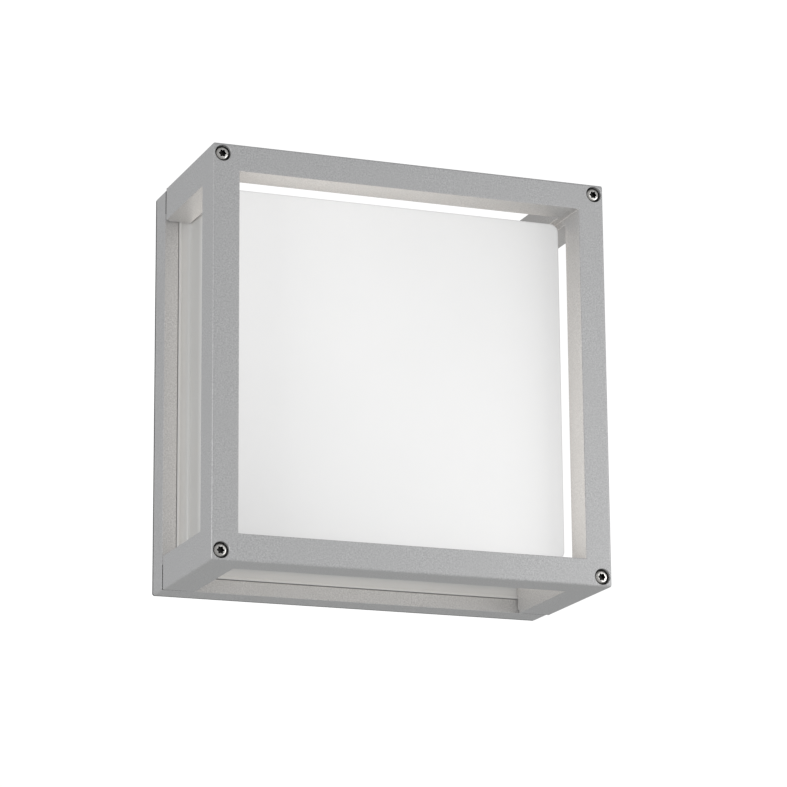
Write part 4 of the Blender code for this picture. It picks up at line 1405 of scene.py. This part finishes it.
button_outline = softened([
    (0, lamp_tip + 0.0004, 0),
    (0.0034, lamp_tip + 0.0004, 0.0001),
    (0.0030, lamp_tip, 0.0003),
    (0, lamp_tip, 0),
])
button = turned("lamp_contact_button", button_outline, holder_place, up, nickel)

body_start = cap_end + touch_gap
body_end = body_start + 0.030
globe_radius = 0.030
globe_sunk = 0.25
shoulder = globe_radius * math.sqrt(1 - globe_sunk ** 2)
body_outline = softened([
    (0, body_end, 0),
    (shoulder - 0.0040, body_end, 0.0003),
    (shoulder - 0.0005, body_end - 0.0015, 0.0010),
    (0.0265, body_end - 0.0080, 0.0040),
    (0.0205, body_end - 0.0170, 0.0040),
    (0.0142, body_start + 0.0080, 0.0025),
    (0.0142, body_start, 0.0003),
    (0, body_start, 0),
], steps=8)
lamp_white = moulded_plastic("white lamp body plastic", "ECECEA", "E6E6E3", 0.38)
lamp_body = turned("lamp_moulded_body", body_outline, holder_place, up, lamp_white, steps=96)
globe_start = body_end + touch_gap
globe_centre = globe_start + globe_radius * globe_sunk
widest = math.acos(-globe_sunk)
globe_bands = 40
turns = [widest * band / globe_bands for band in range(globe_bands + 1)]
globe_outer = [
    (globe_radius * math.sin(turn), globe_centre + globe_radius * math.cos(turn)) for turn in turns
]
inner_radius = globe_radius - 0.0012
globe_inner = [
    (inner_radius * math.sin(turn), max(globe_start, globe_centre + inner_radius * math.cos(turn)))
    for turn in reversed(turns)
]
lamp_opal, _, _ = opal("opal lamp dome", "F4F2EC", "EFEDE6", 0.30, "FFEFD8")
globe = turned(
    "lamp_opal_dome", [*globe_outer, *globe_inner], holder_place, up, lamp_opal, steps=96
)
for piece, nodes, slot in (
    (lamp_cap, ["lamp_cap"], "nickel"),
    (insulator, ["lamp_cap_insulator"], "cap_insulator"),
    (button, [], "nickel"),
    (lamp_body, ["lamp_body"], "lamp_plastic"),
    (globe, ["lamp_globe"], "lamp_opal"),
):
    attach(piece, "lamp")
    if nodes:
        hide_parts(*nodes)


# ---------------------------------------------------------------- Diffuser gasket
# A square gasket moulded in white silicone, which lies on the plate's seat under the
# diffuser's flange and is squeezed when the cage is screwed down.

gasket_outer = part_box("diffuser_gasket")[1].x
gasket_inner = 0.1095
gasket_low = seat_height + touch_gap
gasket_high = gasket_low + 0.002
gasket_outline = softened([
    (gasket_outer, gasket_low, 0.002, 0.0008),
    (gasket_outer, gasket_high, 0.002, 0.0008),
    (gasket_inner, gasket_high, 0.002, 0.0008),
    (gasket_inner, gasket_low, 0.002, 0.0008),
], closed=True)
silicone = moulded_plastic("white silicone rubber", "DDDCD8", "E4E3DF", 0.50)
gasket = square_piece("diffuser_seat_gasket", gasket_outline, silicone, closed=True)
smooth(gasket, weighted=False)
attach(gasket, "plate")
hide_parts("diffuser_gasket")


# ---------------------------------------------------------------- Diffuser
# A deep square cover injection moulded in opal polycarbonate, 2.5 mm thick, with a little
# draft, soft corners and a flange with a thin raised bead round its rim. The cage's feet
# hold the flange on the gasket. Its glow is painted light: a painted glow, most in a band
# across its front, and painted light that it casts on the pieces round it.

flange_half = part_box("diffuser")[1].x - 0.0002
flange_back = gasket_high + touch_gap
flange_front = flange_back + 0.003
bead_top = 0.020
bead_inner = flange_half - 0.0015
body_back_half = 0.1082
body_front_half = 0.105
body_front = -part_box("diffuser")[0].y
opal_wall = 0.0025
corner = 0.005
diffuser_outline = softened([
    (0.090, body_front, 0.004, 0),
    (body_front_half, body_front, corner, 0.0011),
    (body_back_half, flange_front, corner, 0.0030),
    (bead_inner, flange_front, 0.003, 0.0004),
    (bead_inner, bead_top, 0.003, 0.0003),
    (flange_half, bead_top, 0.003, 0.0005),
    (flange_half, flange_back, 0.003, 0.0004),
    (body_back_half - opal_wall, flange_back, corner - opal_wall, 0.0006),
    (body_front_half - opal_wall, body_front - opal_wall, corner - opal_wall, 0.0012),
    (0.090, body_front - opal_wall, 0.004, 0),
], steps=5)
satin_opal, opal_tree, opal_shader = opal(
    "satin opal polycarbonate", "AFAFAD", "A9A9A7", 0.34, "FFFFFF"
)


def fading_to(across, width):
    """Painted light that is full on the front's middle diagonal and gone at this width from it."""
    share = add_node(opal_tree, "ShaderNodeMath", {0: across, 1: width}, operation="DIVIDE")
    squared = add_node(opal_tree, "ShaderNodeMath", {0: share, 1: share}, operation="MULTIPLY")
    return add_node(opal_tree, "ShaderNodeMath", {0: 1.0, 1: squared}, operation="SUBTRACT")


# The painted glow is how bright the opal looks to the camera, strongest along the front's
# middle diagonal and towards the front of its sides, and dimmer where it is seen at a
# slant. What is given is painted light that falls on the pieces round it, none of it from
# the flange. Each starts and is full at a height from the wall.
painted_front_glow = 0.58
painted_back_glow = 0.15
painted_rim_glow = 0.65
painted_glow_starts = 0.034
painted_glow_full = 0.050
band_width = 0.45
front_skin = 0.0004
front_given = 1.15
light_width = 0.23
least_given = 0.1
side_given = 0.80
given_starts = flange_front - 0.0010
given_full = 0.024
opal_place = add_node(opal_tree, "ShaderNodeTexCoord").outputs["Object"]
opal_axes = add_node(opal_tree, "ShaderNodeSeparateXYZ", {0: opal_place}).outputs
painted_side_glow = add_node(opal_tree, "ShaderNodeMapRange", {
    0: opal_axes[1], 1: -painted_glow_starts, 2: -painted_glow_full, 3: painted_back_glow, 4: painted_rim_glow
})
diagonal = add_node(opal_tree, "ShaderNodeMath", {0: opal_axes[0], 1: opal_axes[2]}, operation="ADD")
falloff = fading_to(diagonal, band_width)
painted_front_band = add_node(opal_tree, "ShaderNodeMath", {0: falloff, 1: painted_front_glow}, operation="MULTIPLY")
is_front = add_node(
    opal_tree, "ShaderNodeMath", {0: opal_axes[1], 1: front_skin - body_front}, operation="LESS_THAN"
)
glow = add_node(opal_tree, "ShaderNodeMix", {0: is_front, 2: painted_side_glow, 3: painted_front_band})
facing = add_node(opal_tree, "ShaderNodeLayerWeight").outputs["Facing"]
head_on = add_node(opal_tree, "ShaderNodeMath", {0: 1.0, 1: facing}, operation="SUBTRACT")
leaving = add_node(opal_tree, "ShaderNodeMath", {0: head_on}, operation="SQRT")
looked_at = add_node(opal_tree, "ShaderNodeMath", {0: glow, 1: leaving}, operation="MULTIPLY")
seen_directly = add_node(opal_tree, "ShaderNodeLightPath").outputs["Is Camera Ray"]
beyond_flange = add_node(opal_tree, "ShaderNodeMapRange", {
    0: opal_axes[1], 1: -given_starts, 2: -given_full, 4: side_given
})
kept = add_node(
    opal_tree,
    "ShaderNodeMath",
    {0: fading_to(diagonal, light_width), 1: least_given},
    operation="MAXIMUM",
)
painted_front_light = add_node(opal_tree, "ShaderNodeMath", {0: kept, 1: front_given}, operation="MULTIPLY")
given = add_node(opal_tree, "ShaderNodeMix", {0: is_front, 2: beyond_flange, 3: painted_front_light})
# Camera rays see the painted glow; all other rays see the painted light it gives.
strength = add_node(opal_tree, "ShaderNodeMix", {0: seen_directly, 2: given, 3: looked_at})
warmth = add_node(
    opal_tree,
    "ShaderNodeMix",
    {0: seen_directly, 6: linear("FFF8F0"), 7: linear("FEFEFF")},
    data_type="RGBA",
)
feed(opal_tree, opal_shader, {"Emission Strength": strength, "Emission Color": warmth})
diffuser = square_piece("opal_diffuser", diffuser_outline, satin_opal, corner_steps=12)
smooth(diffuser)
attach(diffuser, "diffuser")
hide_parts("diffuser")


# ---------------------------------------------------------------- Cage
# One aluminium die casting in the plate's powder coat: a square front rail on four
# L-shaped corner legs, open on every side. Its outer edges are well rounded, its window
# edges only broken, and each front corner is counterbored for a long screw.

half = cad_box[1][0]
depth = -cad_box[0][1]
cage_back = plate_depth + 0.0011
cage_wall = 0.0163
rail_depth = 0.021
corner_width = 0.0205
foot_inset = 0.0112
foot_step = 0.0012
outer_rounding = 0.0012
inner_rounding = 0.0005
foot_rounding = 0.0002
counterbore_radius = 0.0049
counterbore_depth = 0.005
rim_chamfer = 0.0003

cage = brick((-half, cage_back - foot_step, -half), (half, depth, half))
cage.name = "cast_cage"
seam_rebate = 0.0021
seam_width = 0.0023
aside = half + past
window_half = half - corner_width
window_front = depth - rail_depth
foot_cutters = []
for inset, top in ((foot_inset, cage_back), (seam_width, cage_back + seam_rebate)):
    for foot_from, foot_to in ((half - inset, aside), (-aside, inset - half)):
        foot_cutters.append(brick((-aside, 0, foot_from), (aside, top, foot_to)))
        foot_cutters.append(brick((foot_from, 0, -aside), (foot_to, top, aside)))
opening_half = half - cage_wall
openings = [
    brick((-opening_half, 0, -opening_half), (opening_half, depth + past, opening_half)),
    brick((-aside, 0, -window_half), (aside, window_front, window_half)),
    brick((-window_half, 0, -aside), (window_half, window_front, aside)),
]
combine(cage, foot_cutters + openings)


def on_outside(point):
    """How many of the casting's outer planes a point lies on."""
    planes = [abs(abs(point.x) - half), abs(abs(point.z) - half), abs(-point.y - depth)]
    return sum(distance < 0.00001 for distance in planes)


cage_bm = bmesh.new()
cage_bm.from_mesh(cage.data)
bmesh.ops.remove_doubles(cage_bm, verts=cage_bm.verts, dist=0.00001)
bmesh.ops.dissolve_limit(
    cage_bm, angle_limit=math.radians(1), verts=cage_bm.verts, edges=cage_bm.edges
)
weights = cage_bm.edges.layers.float.new("bevel_weight_edge")
for edge in cage_bm.edges:
    middle = (edge.verts[0].co + edge.verts[1].co) / 2
    if on_outside(middle) >= 2:
        edge[weights] = 1.0
    elif -middle.y < cage_back + seam_rebate + proud:
        edge[weights] = foot_rounding / outer_rounding
    else:
        edge[weights] = inner_rounding / outer_rounding
cage_bm.to_mesh(cage.data)
cage_bm.free()
rounding = cage.modifiers.new("cast edges", "BEVEL")
rounding.width = outer_rounding
rounding.segments = 4
rounding.limit_method = "WEIGHT"
bake(cage)
bores = []
for _, x, z in four(screw_offset):
    bores.append(rod(screw_bore, at(x, 0, z), at(x, depth + past, z)))
    counterbore_floor = at(x, depth - counterbore_depth, z)
    counterbore_rim = at(x, depth + proud, z)
    bores.append(rod(counterbore_radius, counterbore_floor, counterbore_rim, rim_chamfer, 96))
combine(cage, bores)
cage.data.materials.clear()
cage.data.materials.append(silver_coat)
smooth(cage)
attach(cage, "cage")
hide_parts("cage")


# ---------------------------------------------------------------- Cage screws
# Four M4 x 100 stainless pan-head screws with a six-lobe recess and a short rolled thread.
# Each sits in a thin cupped washer of black rubber, which seals its head in the
# counterbore, and pulls the cage to the plate. The washer's black cup, which rises round the
# head, also stands in for the shade in the counterbore: painted shade.

washer_bore = 0.0024
washer_radius = 0.0047
lip_radius = 0.0042
washer_sheet = 0.0005
washer_rise = 0.0023
# The cup rises round the head: black rubber as painted shade in the counterbore.
washer_outline = softened([
    (washer_bore, washer_sheet, 0.0001),
    (lip_radius, washer_sheet, 0.0001),
    (lip_radius, washer_rise, 0.0002),
    (washer_radius, washer_rise, 0.0002),
    (washer_radius, 0, 0.0001),
    (washer_bore, 0, 0.0001),
], closed=True)
washer = turned("washer", washer_outline, centre, out, closed=True, steps=48)
washer_h = depth - counterbore_depth + touch_gap
washer_places = [at(x, washer_h, z) for _, x, z in four(screw_offset)]
washers = copies_at("screw_sealing_washers", washer, washer_places, out, black_rubber, 6)
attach(washers, "cage")
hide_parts(*["cage_screw_washer_" + name for name, _, _ in four(1)])

stainless = plated_metal("bright stainless steel", "DCDAD6", "CBC9C5", 0.24, 0.003)
# The six-lobe recess is coloured near black: painted shade in the recess.
recess_painted_shade = plated_metal("stainless steel painted dark as recess shade", "3C3B3A", "2C2B2A", 0.42, 0.001)
head_h = washer_h + washer_sheet + touch_gap
long_head = (0.0040, 0.0028)
long_shank = 0.0020
long_length = 0.100
six_lobes = (6, 0.00205, 0.00030, 0.0022)
long_thread = (0.0005, 0.0007, 0.020)
for name, x, z in four(screw_offset):
    long_screw = screw(
        "cage_screw_M4_" + name,
        long_head,
        long_shank,
        long_length,
        six_lobes,
        long_thread,
        out,
        (stainless, recess_painted_shade),
        at(x, head_h, z),
    )
    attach(long_screw, "cage_screw_" + name)
    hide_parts("cage_screw_" + name)
